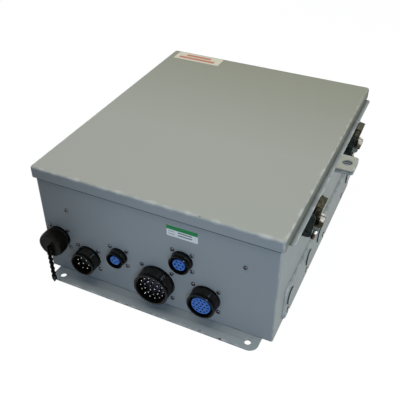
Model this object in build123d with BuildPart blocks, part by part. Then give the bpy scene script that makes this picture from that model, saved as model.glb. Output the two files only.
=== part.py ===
from build123d import *
import os
from math import cos, radians, sin

os.makedirs("parts", exist_ok=True)

# A wall-mounting sheet steel control box, lying on its back with the lid up.
# X runs across the width, Y along the length with the receptacles on the -Y wall, Z up.
# The origin is on the mounting plane, in the middle of the four foot holes.
# All lengths are millimetres.

# Enclosure and lid
body_width = 304.0
body_length = 364.0
overall_height = 154.0
sheet = 1.5
body_corner_radius = 2.5
rim_width = 12.0
lid_overhang = 3.5
lid_flange_height = 14.5
lid_corner_radius = 4.0
lid_bend_radius = 3.0
lip_width = 5.8
lip_end_gap = 14.0
lip_corner_radius = 3.5
gasket_width = 8.0
gasket_thickness = 5.0
seat_gap = 0.1
running_gap = 0.05
overrun = 2.0

# Mounting feet
foot_thickness = 2.6
foot_side_gap = 12.5
foot_reach = 21.3
foot_lap = 25.0
foot_corner_radius = 11.0
foot_hole_diameter = 7.94
foot_hole_side_inset = 12.8
foot_hole_inset = 11.4

# Continuous hinge
hinge_end_gap = 14.0
hinge_knuckle_count = 9
knuckle_radius = 2.8
knuckle_gap = 0.5
hinge_pin_radius = 1.4
leaf_thickness = 1.2
leaf_offset = 0.8
leaf_swing_gap = 0.4
lid_leaf_height = 11.0
body_leaf_height = 19.0
body_leaf_drop = 5.0

# Padlock hasp
hasp_width = 32.0
hasp_reach = 30.3
hasp_hole_diameter = 12.6
hasp_hole_inset = 10.9
hasp_corner_radius = 4.0
hasp_lid_thickness = 2.0
hasp_body_thickness = 3.0
hasp_gap = 1.4
hasp_leg_height = 20.0
hasp_leg_thickness = 2.0

# Swing-bolt lid clamps
clamp_spacing_share = 0.5
bracket_width = 40.0
bracket_sheet = 2.0
bracket_drop = 35.0
bracket_height = 32.5
bracket_reach_bottom = 11.0
bracket_reach_top = 13.7
bracket_corner_radius = 4.5
clamp_pin_radius = 2.0
clamp_pin_reach = 6.5
clamp_pin_rise = 5.1
clamp_pin_head_radius = 2.6
clamp_pin_head_height = 1.0
clamp_block_radius = 3.8
clamp_block_width = 12.0
clamp_screw_radius = 2.5
clamp_screw_offset = 6.7
clamp_screw_tail = 20.6
screw_head_width = 9.5
screw_head_height = 7.0
screw_slot_width = 1.4
screw_slot_depth = 1.8
hook_width = 21.0
hook_sheet = 2.0
hook_tip_gap = 0.7
hook_lip_gap = 0.6
hook_lift_gap = 0.4
hook_step_drop = 10.4
hook_leg_inset = 1.5
hook_tongue_rise = 6.4
hook_tongue_reach = 12.0
clamp_release_angle = 11.0

# Receptacles on the front wall, from left to right
receptacle_left_insets = (21.3, 61.7, 106.1, 157.5, 191.2, 220.7)
receptacle_rises = (55.0, 35.7, 54.7, 35.0, 81.1, 34.7)
shell_diameters = (28.6, 31.75, 22.2, 44.45, 25.4, 34.9)
flange_screw_pitches = (26.97, 29.36, 23.0, 39.67, 24.6, 31.75)
flange_sides = (34.9, 38.1, 30.2, 50.8, 32.5, 41.3)
shell_reaches = (17.0, 17.0, 11.3, 17.6, 10.5, 15.9)
holds_pins = (True, True, False, True, False, False)
ring_contact_count = ((7, 1), (7, 1), (4,), (14, 9, 3), (6, 1), (12, 6, 1))
ring_radius_shares = ((0.6, 0), (0.6, 0), (0.52,), (0.8, 0.52, 0.2), (0.64, 0), (0.76, 0.4, 0))
shell_bore_share = 0.85
shell_land_height = 0.4
shell_land_length = 2.0
shell_hole_gap = 0.3
shell_back_step = 1.0
shell_back_length = 10.0
shell_rim_chamfer = 0.5
flange_thickness = 2.4
flange_corner_radius = 2.5
pin_diameter = 1.8
pin_length = 9.6
pin_face_recess = 13.0
socket_diameter = 2.0
socket_depth = 6.0
socket_face_recess = 1.5
boss_depth = 8.0
boss_radius_shares = (0.60, 0.60, 0.56, 0.60, 0.61, 0.68)
small_screw_radius = 1.4
small_screw_hole_radius = 1.6
small_head_radius = 2.6
small_head_height = 1.7
small_screw_tail = 1.0

# Dust cap and its chain, on the first receptacle
cap_outer_diameter = 33.4
cap_wall_gap = 5.0
cap_shoulder_length = 4.0
cap_end_wall = 2.6
cap_rim_step = 1.2
cap_rim_length = 2.4
cap_thread_gap = 0.25
cap_gasket_thickness = 1.4
cap_gasket_width = 3.2
swivel_radius = 1.8
swivel_head_radius = 4.0
swivel_head_height = 1.0
swivel_neck = 0.6
eye_radius = 2.6
eye_hole_radius = 1.35
eye_thickness = 1.5
eye_neck_width = 2.8
link_length = 7.4
link_width = 6.4
link_bar = 1.6
link_thickness = 1.4
link_slack = 0.4
chain_link_count = 12
chain_end_width = 6.0
chain_end_hole_radius = 1.4
chain_end_thickness = 2.4
chain_floor_gap = 0.6

# Front wall screws with the tie bar behind them
tie_screw_side_inset = 37.7
tie_screw_rise = 100.9
tie_bar_height = 6.0
tie_bar_thickness = 3.0
tie_bar_margin = 8.0

# Blanking plate, hole plugs and screws on the right wall
plate_end_gap = 30.0
plate_thickness = 3.0
plate_chamfer = 2.0
plate_base_gap = 4.0
plate_height = 50.0
plate_corner_radius = 8.0
plug_along_shares = (-0.447, -0.211, -0.053, 0.434)
plug_up_share = 0.60
plug_radius = 11.0
plug_hole_radius = 9.5
plug_cap_height = 1.8
plug_edge_chamfer = 0.4
plug_spigot_length = 6.5
plate_screw_along_shares = (-0.46, -0.217, 0.033, 0.355)
plate_screw_up_share = 0.20

# Sub-panel and what it carries
panel_side_gap = 19.5
panel_front_gap = 54.0
panel_thickness = 2.0
panel_rise = 12.0
panel_wall_gap = 17.0
panel_hole_inset = 12.0
stud_radius = 3.0
stud_tail = 9.0
nut_width = 10.0
nut_height = 5.0
strip_side_gap = 19.0
strip_width = 16.0
strip_height = 14.0
strip_front_gap = 8.0
strip_pole_count = 12
fin_height = 6.0
fin_thickness = 1.6
terminal_radius = 3.0
terminal_height = 2.2
board_side_gap = 36.0
board_rear_gap = 50.0
board_thickness = 1.6
board_gap = 34.0
standoff_height = 10.0
standoff_radius = 3.5
standoff_inset = 7.0
header_length = 120.0
header_width = 9.0
header_height = 12.0
header_inset = 3.0
relay_width = 15.0
relay_length = 28.0
relay_height = 16.0
relay_count = 6
relay_spacing = 24.0
relay_gap = 8.0
supply_inset = 34.0
capacitor_radius = 9.0
capacitor_height = 25.0
capacitor_spacing = 24.0
capacitor_count = 3
transformer_width = 48.0
transformer_length = 40.0
transformer_height = 34.0
transformer_core_share = 0.5
loom_radius_share = 0.15
loom_bend_radius = 8.0
loom_lead = 12.0
loom_entry_share = 0.5
loom_gather_share = 0.74
harness_radius = 4.5
harness_count = 2
harness_spacing_share = 0.5
harness_bend_radius = 6.0

# Worked out once from the sizes above
half_width = body_width / 2
half_length = body_length / 2
base_z = foot_thickness
body_height = overall_height - sheet - gasket_thickness
rim_z = base_z + body_height
lid_top_z = base_z + overall_height
lid_width = body_width + 2 * lid_overhang
lid_length = body_length + 2 * lid_overhang
lid_edge_x = lid_width / 2
flange_foot_z = lid_top_z - lid_flange_height
lip_edge_x = lid_edge_x + lip_width
lip_length = lid_length - 2 * lip_end_gap
foot_width = body_width - 2 * foot_side_gap
foot_hole_spacing = foot_width - 2 * foot_hole_side_inset
clamp_spacing = clamp_spacing_share * body_length
bracket_base_z = flange_foot_z - bracket_drop
plate_length = body_length - 2 * plate_end_gap
foot_hole_y = half_length + foot_hole_inset
front_wall = Plane(origin=(0, -half_length, base_z), x_dir=(1, 0, 0), z_dir=(0, -1, 0))
right_wall = Plane(origin=(half_width, 0, base_z), x_dir=(0, 1, 0), z_dir=(1, 0, 0))
receptacle_count = len(shell_diameters)
receptacle_centres = [
    (inset - half_width, rise) for inset, rise in zip(receptacle_left_insets, receptacle_rises)
]
tie_screw_places = [
    (side * (half_width - tie_screw_side_inset), tie_screw_rise) for side in (-1, 1)
]
plug_places = [
    (along * plate_length, plate_base_gap + plug_up_share * plate_height) for along in plug_along_shares
]
plate_screw_places = [
    (along * plate_length, plate_base_gap + plate_screw_up_share * plate_height)
    for along in plate_screw_along_shares
]


def save(piece, name):
    """Label a finished piece and write it as one STEP file."""
    piece.part.label = name
    export_step(piece.part, f"parts/{name}.step")


# Enclosure body: a folded tray with an inward rim round its opening
with BuildPart() as enclosure_body:
    with BuildSketch(Plane.XY.offset(base_z)):
        RectangleRounded(body_width, body_length, body_corner_radius)
    extrude(amount=body_height)
    with BuildSketch(Plane.XY.offset(base_z + sheet)):
        RectangleRounded(body_width - 2 * sheet, body_length - 2 * sheet, body_corner_radius - sheet)
    extrude(amount=body_height - 2 * sheet, mode=Mode.SUBTRACT)
    with BuildSketch(Plane.XY.offset(rim_z - 2 * sheet)):
        Rectangle(body_width - 2 * rim_width, body_length - 2 * rim_width)
    extrude(amount=2 * sheet + overrun, mode=Mode.SUBTRACT)
    with BuildSketch(front_wall):
        for index in range(receptacle_count):
            with Locations(receptacle_centres[index]):
                Circle(shell_diameters[index] / 2 + shell_land_height + shell_hole_gap)
                with GridLocations(flange_screw_pitches[index], flange_screw_pitches[index], 2, 2):
                    Circle(small_screw_hole_radius)
        with Locations(*tie_screw_places):
            Circle(small_screw_hole_radius)
    extrude(amount=sheet + overrun, both=True, mode=Mode.SUBTRACT)
    with BuildSketch(right_wall):
        with Locations(*plug_places):
            Circle(plug_hole_radius)
        with Locations(*plate_screw_places):
            Circle(small_screw_hole_radius)
    extrude(amount=sheet + overrun, both=True, mode=Mode.SUBTRACT)
save(enclosure_body, "enclosure_body")

# Mounting feet: flat straps welded under the back, past both end walls
for name, side in (("front", -1), ("rear", 1)):
    with BuildPart() as mounting_foot:
        with BuildSketch() as strap:
            with Locations((0, side * (half_length + (foot_reach - foot_lap) / 2))):
                Rectangle(foot_width, foot_reach + foot_lap)
            fillet(strap.vertices().sort_by(Axis.Y, reverse=side > 0)[:2], radius=foot_corner_radius)
            with Locations((0, side * foot_hole_y)):
                with GridLocations(foot_hole_spacing, 0, 2, 1):
                    Circle(foot_hole_diameter / 2, mode=Mode.SUBTRACT)
        extrude(amount=foot_thickness)
    save(mounting_foot, f"mounting_foot_{name}")

# Lid: a shallow tray over the gasket
with BuildPart() as lid:
    with BuildSketch(Plane.XY.offset(flange_foot_z)):
        RectangleRounded(lid_width, lid_length, lid_corner_radius)
    extrude(amount=lid_flange_height)
    fillet(lid.faces().sort_by(Axis.Z)[-1].edges(), radius=lid_bend_radius)
    with BuildSketch(Plane.XY.offset(flange_foot_z - overrun)):
        RectangleRounded(lid_width - 2 * sheet, lid_length - 2 * sheet, lid_corner_radius - sheet)
    extrude(amount=lid_flange_height + overrun - sheet, mode=Mode.SUBTRACT)
save(lid, "lid")

# Lip: a strip welded to the foot of the lid's flange, for the clamps to hook over
with BuildPart() as lid_lip:
    with BuildSketch(Plane.XY.offset(flange_foot_z)) as lip:
        with Locations((lid_edge_x + lip_width / 2, 0)):
            Rectangle(lip_width, lip_length)
        fillet(lip.vertices().sort_by(Axis.X)[2:], radius=lip_corner_radius)
    extrude(amount=sheet)
save(lid_lip, "lid_lip")

# Lid gasket: four foam strips stuck under the lid, over the body's rim, butted at the corners
gasket_inset = (rim_width - gasket_width) / 2
gasket_span_x = body_width - 2 * gasket_inset - gasket_width
gasket_span_y = body_length - 2 * gasket_inset - gasket_width
with BuildPart() as lid_gasket:
    with BuildSketch(Plane.XY.offset(rim_z + seat_gap)):
        with GridLocations(gasket_span_x, 0, 2, 1):
            Rectangle(gasket_width, gasket_span_y + gasket_width)
        with GridLocations(0, gasket_span_y, 1, 2):
            Rectangle(gasket_span_x - gasket_width - 2 * seat_gap, gasket_width)
    extrude(amount=gasket_thickness - seat_gap)
save(lid_gasket, "lid_gasket")

# Continuous hinge on the left: two leaves with interlaced knuckles and one pin
hinge_length = body_length - 2 * hinge_end_gap
knuckle_pitch = hinge_length / hinge_knuckle_count
knuckle_bore = hinge_pin_radius + running_gap
hinge_x = -(lid_edge_x + leaf_thickness + leaf_offset)
hinge_z = flange_foot_z - knuckle_radius - leaf_swing_gap
hinge_start = Plane(origin=(hinge_x, -hinge_length / 2, hinge_z), x_dir=(1, 0, 0), z_dir=(0, -1, 0))
wall_offset = -half_width - hinge_x
lid_leaf_middle = leaf_offset + leaf_thickness / 2
lid_leaf_base = knuckle_radius + leaf_swing_gap

with BuildPart() as hinge_lid_leaf:
    with BuildSketch(hinge_start):
        with Locations((lid_leaf_middle, lid_leaf_base + lid_leaf_height / 2)):
            Rectangle(leaf_thickness, lid_leaf_height)
    extrude(amount=-hinge_length)
    for index in range(1, hinge_knuckle_count, 2):
        with BuildSketch(hinge_start.offset(-(index * knuckle_pitch + knuckle_gap / 2))):
            Circle(knuckle_radius)
            with Locations((lid_leaf_middle, lid_leaf_base / 2)):
                Rectangle(leaf_thickness, lid_leaf_base)
            Circle(knuckle_bore, mode=Mode.SUBTRACT)
        extrude(amount=-(knuckle_pitch - knuckle_gap))
save(hinge_lid_leaf, "hinge_lid_leaf")

with BuildPart() as hinge_body_leaf:
    with BuildSketch(hinge_start):
        with Locations((wall_offset - leaf_thickness / 2, -body_leaf_drop - body_leaf_height / 2)):
            Rectangle(leaf_thickness, body_leaf_height)
    extrude(amount=-hinge_length)
    for index in range(0, hinge_knuckle_count, 2):
        with BuildSketch(hinge_start.offset(-(index * knuckle_pitch + knuckle_gap / 2))):
            Circle(knuckle_radius)
            with BuildLine():
                Polyline(
                    (0, -knuckle_radius),
                    (wall_offset - leaf_thickness, -body_leaf_drop - knuckle_radius),
                    (wall_offset, -body_leaf_drop - knuckle_radius),
                    (wall_offset, -body_leaf_drop),
                    (knuckle_radius, 0),
                    close=True,
                )
            make_face()
            Circle(knuckle_bore, mode=Mode.SUBTRACT)
        extrude(amount=-(knuckle_pitch - knuckle_gap))
save(hinge_body_leaf, "hinge_body_leaf")

with BuildPart() as hinge_pin:
    with BuildSketch(hinge_start):
        Circle(hinge_pin_radius)
    extrude(amount=-hinge_length)
save(hinge_pin, "hinge_pin")

# Padlock hasp: a tab welded to the lid's lip over an angle on the body
hasp_edge_x = half_width + hasp_reach
hasp_lid_z = flange_foot_z + sheet - hasp_lid_thickness
hasp_body_z = hasp_lid_z - hasp_gap - hasp_body_thickness
with BuildPart() as hasp_lid_tab:
    with BuildSketch(Plane.XY.offset(hasp_lid_z)) as tab:
        with Locations(((lip_edge_x + hasp_edge_x) / 2, 0)):
            Rectangle(hasp_edge_x - lip_edge_x, hasp_width)
        fillet(tab.vertices().sort_by(Axis.X)[2:], radius=hasp_corner_radius)
        with Locations((hasp_edge_x - hasp_hole_inset, 0)):
            Circle(hasp_hole_diameter / 2, mode=Mode.SUBTRACT)
    extrude(amount=hasp_lid_thickness)
save(hasp_lid_tab, "hasp_lid_tab")

with BuildPart() as hasp_body_tab:
    with BuildSketch(Plane.XY.offset(hasp_body_z)) as tab:
        with Locations(((half_width + hasp_edge_x) / 2, 0)):
            Rectangle(hasp_reach, hasp_width)
        fillet(tab.vertices().sort_by(Axis.X)[2:], radius=hasp_corner_radius)
        with Locations((hasp_edge_x - hasp_hole_inset, 0)):
            Circle(hasp_hole_diameter / 2, mode=Mode.SUBTRACT)
    extrude(amount=hasp_body_thickness)
    with BuildSketch(Plane.XY.offset(hasp_body_z - hasp_leg_height)):
        with Locations((half_width + hasp_leg_thickness / 2, 0)):
            Rectangle(hasp_leg_thickness, hasp_width)
    extrude(amount=hasp_leg_height)
save(hasp_body_tab, "hasp_body_tab")

# Two swing-bolt clamps on the right wall, standing just released from the lip
pin_x = half_width + clamp_pin_reach
pin_z = bracket_base_z + clamp_pin_rise
lean = radians(clamp_release_angle)
lean_out = (cos(lean), 0, -sin(lean))
lean_up = (sin(lean), 0, cos(lean))
hook_tip = lid_edge_x + hook_tip_gap - pin_x
hook_leg = lip_edge_x + hook_lip_gap - pin_x
hook_under = flange_foot_z + sheet + hook_lift_gap - pin_z
hook_step = hook_under - hook_step_drop
tongue_top = hook_tongue_rise + hook_sheet
for name, side in (("front", -1), ("rear", 1)):
    clamp_y = side * clamp_spacing / 2
    bracket_plane = Plane(
        origin=(half_width, clamp_y, bracket_base_z), x_dir=(1, 0, 0), z_dir=(0, -1, 0)
    )
    swing_plane = Plane(origin=(pin_x, clamp_y, pin_z), x_dir=lean_out, z_dir=(0, -1, 0))
    bolt_plane = Plane(origin=(pin_x, clamp_y, pin_z), x_dir=lean_out, z_dir=lean_up)

    with BuildPart() as clamp_bracket:
        with BuildSketch(bracket_plane) as cheek:
            with BuildLine():
                Polyline(
                    (0, 0),
                    (bracket_reach_bottom, 0),
                    (bracket_reach_top, bracket_height),
                    (0, bracket_height),
                    close=True,
                )
            make_face()
            fillet(cheek.vertices().sort_by(Axis.X)[2:], radius=bracket_corner_radius)
        extrude(amount=bracket_width / 2, both=True)
        with BuildSketch(bracket_plane):
            with Locations((bracket_sheet + bracket_reach_top / 2, bracket_height / 2)):
                Rectangle(bracket_reach_top, bracket_height + overrun)
        extrude(amount=bracket_width / 2 - bracket_sheet, both=True, mode=Mode.SUBTRACT)
        with BuildSketch(bracket_plane):
            with Locations((clamp_pin_reach, clamp_pin_rise)):
                Circle(clamp_pin_radius + running_gap)
        extrude(amount=bracket_width / 2 + overrun, both=True, mode=Mode.SUBTRACT)
    save(clamp_bracket, f"clamp_{name}_bracket")

    with BuildPart() as clamp_pin:
        with BuildSketch(bracket_plane):
            with Locations((clamp_pin_reach, clamp_pin_rise)):
                Circle(clamp_pin_radius)
        extrude(amount=bracket_width / 2 + seat_gap, both=True)
        for end in (-1, 1):
            with BuildSketch(bracket_plane.offset(end * (bracket_width / 2 + seat_gap))):
                with Locations((clamp_pin_reach, clamp_pin_rise)):
                    Circle(clamp_pin_head_radius)
            extrude(amount=end * clamp_pin_head_height)
    save(clamp_pin, f"clamp_{name}_pin")

    with BuildPart() as clamp_block:
        with BuildSketch(swing_plane):
            with Locations((clamp_screw_offset / 2, 0)):
                SlotCenterToCenter(clamp_screw_offset, 2 * clamp_block_radius)
        extrude(amount=clamp_block_width / 2, both=True)
        with BuildSketch(swing_plane):
            Circle(clamp_pin_radius + running_gap)
        extrude(amount=clamp_block_width / 2 + overrun, both=True, mode=Mode.SUBTRACT)
        with BuildSketch(bolt_plane):
            with Locations((clamp_screw_offset, 0)):
                Circle(clamp_screw_radius + running_gap)
        extrude(amount=clamp_block_radius + overrun, both=True, mode=Mode.SUBTRACT)
    save(clamp_block, f"clamp_{name}_block")

    with BuildPart() as clamp_hook:
        with BuildSketch(swing_plane):
            with BuildLine():
                Polyline(
                    (hook_tip, hook_under),
                    (hook_leg, hook_under),
                    (hook_leg, hook_step),
                    (-hook_leg_inset, hook_step),
                    (-hook_leg_inset, hook_tongue_rise),
                    (hook_tongue_reach, hook_tongue_rise),
                    (hook_tongue_reach, tongue_top),
                    (hook_sheet - hook_leg_inset, tongue_top),
                    (hook_sheet - hook_leg_inset, hook_step - hook_sheet),
                    (hook_leg + hook_sheet, hook_step - hook_sheet),
                    (hook_leg + hook_sheet, hook_under + hook_sheet),
                    (hook_tip, hook_under + hook_sheet),
                    close=True,
                )
            make_face()
        extrude(amount=hook_width / 2, both=True)
        with BuildSketch(bolt_plane.offset(hook_tongue_rise - overrun)):
            with Locations((clamp_screw_offset, 0)):
                Circle(clamp_screw_radius + seat_gap)
        extrude(amount=hook_sheet + 2 * overrun, mode=Mode.SUBTRACT)
    save(clamp_hook, f"clamp_{name}_hook")

    with BuildPart() as clamp_screw:
        with BuildSketch(bolt_plane.offset(tongue_top + seat_gap)):
            with Locations((clamp_screw_offset, 0)):
                RegularPolygon(screw_head_width / 2, 6, major_radius=False)
        extrude(amount=screw_head_height)
        with BuildSketch(bolt_plane.offset(-clamp_screw_tail)):
            with Locations((clamp_screw_offset, 0)):
                Circle(clamp_screw_radius)
        extrude(amount=clamp_screw_tail + tongue_top + seat_gap)
        with BuildSketch(bolt_plane.offset(tongue_top + seat_gap + screw_head_height - screw_slot_depth)):
            with Locations((clamp_screw_offset, 0)):
                Rectangle(2 * screw_head_width, screw_slot_width)
        extrude(amount=screw_slot_depth + overrun, mode=Mode.SUBTRACT)
    save(clamp_screw, f"clamp_{name}_screw")

# Six round receptacles, clamped from inside: shell, insulating insert, pins or socket holes
shell_back = sheet + flange_thickness + shell_back_length
for index in range(receptacle_count):
    number = index + 1
    centre = receptacle_centres[index]
    shell_radius = shell_diameters[index] / 2
    bore_radius = shell_bore_share * shell_radius
    boss_radius = boss_radius_shares[index] * shell_radius
    reach = shell_reaches[index]
    pitch = flange_screw_pitches[index]
    flange_side = flange_sides[index]

    with BuildPart() as receptacle_shell:
        with BuildSketch(front_wall.offset(reach)):
            with Locations(centre):
                Circle(shell_radius)
        extrude(amount=-(reach + sheet + flange_thickness))
        chamfer(receptacle_shell.edges().sort_by(Axis.Y)[0], length=shell_rim_chamfer)
        with BuildSketch(front_wall.offset(shell_land_length)):
            with Locations(centre):
                Circle(shell_radius + shell_land_height)
        extrude(amount=-(shell_land_length + sheet))
        with BuildSketch(front_wall.offset(-sheet)):
            with Locations(centre):
                RectangleRounded(flange_side, flange_side, flange_corner_radius)
        extrude(amount=-flange_thickness)
        with BuildSketch(front_wall.offset(-sheet)):
            with Locations(centre):
                Circle(shell_radius - shell_back_step)
        extrude(amount=-(flange_thickness + shell_back_length))
        with BuildSketch(front_wall.offset(reach + overrun)):
            with Locations(centre):
                Circle(bore_radius)
        extrude(amount=-(overrun + reach + shell_back + overrun), mode=Mode.SUBTRACT)
        with BuildSketch(front_wall.offset(-sheet)):
            with Locations(centre):
                with GridLocations(pitch, pitch, 2, 2):
                    Circle(small_screw_radius + running_gap)
        extrude(amount=-(flange_thickness + overrun), mode=Mode.SUBTRACT)
    save(receptacle_shell, f"receptacle_{number}_shell")

    rings = list(zip(ring_contact_count[index], ring_radius_shares[index]))
    insert_radius = bore_radius - running_gap
    if holds_pins[index]:
        insert_face = reach - pin_face_recess
        with BuildPart() as receptacle_insert:
            with BuildSketch(front_wall.offset(insert_face)):
                with Locations(centre):
                    Circle(insert_radius)
            extrude(amount=-(insert_face + shell_back))
        with BuildPart() as receptacle_pins:
            with BuildSketch(front_wall.offset(insert_face)):
                with Locations(centre):
                    for ring_count, share in rings:
                        with PolarLocations(share * bore_radius, ring_count):
                            Circle(pin_diameter / 2)
            extrude(amount=pin_length)
        save(receptacle_pins, f"receptacle_{number}_pins")
    else:
        insert_face = reach - socket_face_recess
        grommet_face = insert_face - boss_depth - seat_gap
        # The socket disc and the grommet that it is seated on are two mouldings
        with BuildPart() as receptacle_insert:
            with BuildSketch(front_wall.offset(insert_face)):
                with Locations(centre):
                    Circle(boss_radius)
            extrude(amount=-boss_depth)
            with BuildSketch(front_wall.offset(insert_face)):
                with Locations(centre):
                    for ring_count, share in rings:
                        with PolarLocations(share * boss_radius, ring_count):
                            Circle(socket_diameter / 2)
            extrude(amount=-socket_depth, mode=Mode.SUBTRACT)
            with BuildSketch(front_wall.offset(grommet_face)):
                with Locations(centre):
                    Circle(insert_radius)
            extrude(amount=-(grommet_face + shell_back))
    save(receptacle_insert, f"receptacle_{number}_insert")

# Receptacle screws: pan heads outside, threaded into the flanges behind the wall
with BuildPart() as receptacle_screws:
    with BuildSketch(front_wall):
        for index in range(receptacle_count):
            with Locations(receptacle_centres[index]):
                with GridLocations(flange_screw_pitches[index], flange_screw_pitches[index], 2, 2):
                    Circle(small_head_radius)
    extrude(amount=small_head_height)
    with BuildSketch(front_wall):
        for index in range(receptacle_count):
            with Locations(receptacle_centres[index]):
                with GridLocations(flange_screw_pitches[index], flange_screw_pitches[index], 2, 2):
                    Circle(small_screw_radius)
    extrude(amount=-(sheet + flange_thickness + small_screw_tail))
save(receptacle_screws, "receptacle_screws")

# Dust cap: a threaded cup over the first receptacle, turning on a riveted swivel eye
cap_x, cap_z = receptacle_centres[0]
cap_bore = shell_diameters[0] / 2 + cap_thread_gap
cap_radius = cap_outer_diameter / 2
cap_floor = shell_reaches[0] + seat_gap + cap_gasket_thickness + seat_gap
cap_face = cap_floor + cap_end_wall
cap_shoulder_radius = (cap_bore + cap_radius) / 2
cap_axis = Axis((cap_x, -half_length, base_z + cap_z), (0, 1, 0))
cap_section = Plane(origin=(cap_x, -half_length, base_z + cap_z), x_dir=(1, 0, 0), z_dir=(0, 0, -1))
with BuildPart() as dust_cap:
    with BuildSketch(cap_section):
        with BuildLine():
            Polyline(
                (cap_bore, cap_wall_gap),
                (cap_shoulder_radius, cap_wall_gap),
                (cap_radius, cap_wall_gap + cap_shoulder_length),
                (cap_radius, cap_face - cap_rim_length),
                (cap_radius - cap_rim_step, cap_face),
                (swivel_radius + running_gap, cap_face),
                (swivel_radius + running_gap, cap_floor),
                (cap_bore, cap_floor),
                close=True,
            )
        make_face()
    revolve(axis=cap_axis)
save(dust_cap, "dust_cap")

with BuildPart() as cap_gasket:
    with BuildSketch(front_wall.offset(shell_reaches[0] + seat_gap)):
        with Locations((cap_x, cap_z)):
            Circle(cap_bore - cap_thread_gap)
            Circle(cap_bore - cap_thread_gap - cap_gasket_width, mode=Mode.SUBTRACT)
    extrude(amount=cap_gasket_thickness)
save(cap_gasket, "cap_gasket")

eye_reach = cap_face + swivel_neck + eye_radius
with BuildPart() as chain_swivel:
    with BuildSketch(front_wall.offset(cap_floor - seat_gap)):
        with Locations((cap_x, cap_z)):
            Circle(swivel_head_radius)
    extrude(amount=-swivel_head_height)
    with BuildSketch(front_wall.offset(cap_floor - seat_gap)):
        with Locations((cap_x, cap_z)):
            Circle(swivel_radius)
    extrude(amount=cap_end_wall + seat_gap + swivel_neck)
    with BuildSketch(Plane(origin=(cap_x, -half_length, base_z + cap_z), x_dir=(0, -1, 0), z_dir=(-1, 0, 0))):
        with Locations((eye_reach, 0)):
            Circle(eye_radius)
        with Locations((eye_reach - eye_radius, 0)):
            Rectangle(eye_radius + swivel_neck, eye_neck_width)
        with Locations((eye_reach, 0)):
            Circle(eye_hole_radius, mode=Mode.SUBTRACT)
    extrude(amount=eye_thickness / 2, both=True)
save(chain_swivel, "chain_swivel")

# Cap chain: flat stamped links, each a quarter turn from the last, hanging from the eye
chain_y = -half_length - eye_reach
eye_z = base_z + cap_z
link_hole_length = link_length - 2 * link_bar
link_pitch = link_hole_length - link_slack
first_link_z = eye_z - (link_length - link_bar) / 2
with BuildPart() as cap_chain:
    for index in range(chain_link_count):
        link_z = first_link_z - index * link_pitch
        across = (1, 0, 0) if index % 2 == 0 else (0, 1, 0)
        normal = (0, -1, 0) if index % 2 == 0 else (1, 0, 0)
        with BuildSketch(Plane(origin=(cap_x, chain_y, link_z), x_dir=across, z_dir=normal)):
            SlotOverall(link_length, link_width, rotation=90)
            SlotOverall(link_hole_length, link_width - 2 * link_bar, rotation=90, mode=Mode.SUBTRACT)
        extrude(amount=link_thickness / 2, both=True)
save(cap_chain, "cap_chain")

end_eye_z = first_link_z - (chain_link_count - 1) * link_pitch - (link_length - link_bar) / 2
end_length = end_eye_z - chain_floor_gap
end_across = (0, 1, 0) if chain_link_count % 2 == 1 else (1, 0, 0)
end_normal = (1, 0, 0) if chain_link_count % 2 == 1 else (0, -1, 0)
with BuildPart() as chain_end:
    with BuildSketch(Plane(origin=(cap_x, chain_y, end_eye_z), x_dir=end_across, z_dir=end_normal)):
        Circle(chain_end_width / 2)
        with BuildLine():
            Polyline(
                (-chain_end_width / 2, 0),
                (-chain_end_width / 2, -end_length / 2),
                (0, -end_length),
                (chain_end_width / 2, -end_length / 2),
                (chain_end_width / 2, 0),
                close=True,
            )
        make_face()
        Circle(chain_end_hole_radius, mode=Mode.SUBTRACT)
    extrude(amount=chain_end_thickness / 2, both=True)
save(chain_end, "chain_end")

# Tie bar inside the front wall and its two screws
with BuildPart() as tie_bar:
    with BuildSketch(front_wall.offset(-sheet)):
        with Locations((0, tie_screw_rise)):
            Rectangle(2 * (tie_screw_places[1][0] + tie_bar_margin), tie_bar_height)
        with Locations(*tie_screw_places):
            Circle(small_screw_radius + running_gap, mode=Mode.SUBTRACT)
    extrude(amount=-tie_bar_thickness)
save(tie_bar, "tie_bar")

with BuildPart() as tie_bar_screws:
    with BuildSketch(front_wall):
        with Locations(*tie_screw_places):
            Circle(small_head_radius)
    extrude(amount=small_head_height)
    with BuildSketch(front_wall):
        with Locations(*tie_screw_places):
            Circle(small_screw_radius)
    extrude(amount=-(sheet + tie_bar_thickness + small_screw_tail))
save(tie_bar_screws, "tie_bar_screws")

# Blanking plate on the right wall, with its hole plugs and screws
with BuildPart() as side_plate:
    with BuildSketch(right_wall):
        with Locations((0, plate_base_gap + plate_height / 2)):
            RectangleRounded(plate_length, plate_height, plate_corner_radius)
    extrude(amount=plate_thickness)
    chamfer(side_plate.faces().sort_by(Axis.X)[-1].edges(), length=plate_chamfer)
    with BuildSketch(right_wall):
        with Locations(*plug_places):
            Circle(plug_hole_radius)
        with Locations(*plate_screw_places):
            Circle(small_screw_hole_radius)
    extrude(amount=plate_thickness + overrun, mode=Mode.SUBTRACT)
save(side_plate, "side_plate")

with BuildPart() as hole_plugs:
    with BuildSketch(right_wall.offset(plate_thickness)):
        with Locations(*plug_places):
            Circle(plug_radius)
    extrude(amount=plug_cap_height)
    chamfer(hole_plugs.faces().group_by(Axis.X)[-1].edges(), length=plug_edge_chamfer)
    with BuildSketch(right_wall.offset(plate_thickness)):
        with Locations(*plug_places):
            Circle(plug_hole_radius - running_gap)
    extrude(amount=-plug_spigot_length)
save(hole_plugs, "hole_plugs")

with BuildPart() as side_plate_screws:
    with BuildSketch(right_wall.offset(plate_thickness)):
        with Locations(*plate_screw_places):
            Circle(small_head_radius)
    extrude(amount=small_head_height)
    with BuildSketch(right_wall.offset(plate_thickness)):
        with Locations(*plate_screw_places):
            Circle(small_screw_radius)
    extrude(amount=-(plate_thickness + sheet + small_screw_tail))
save(side_plate_screws, "side_plate_screws")

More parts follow.
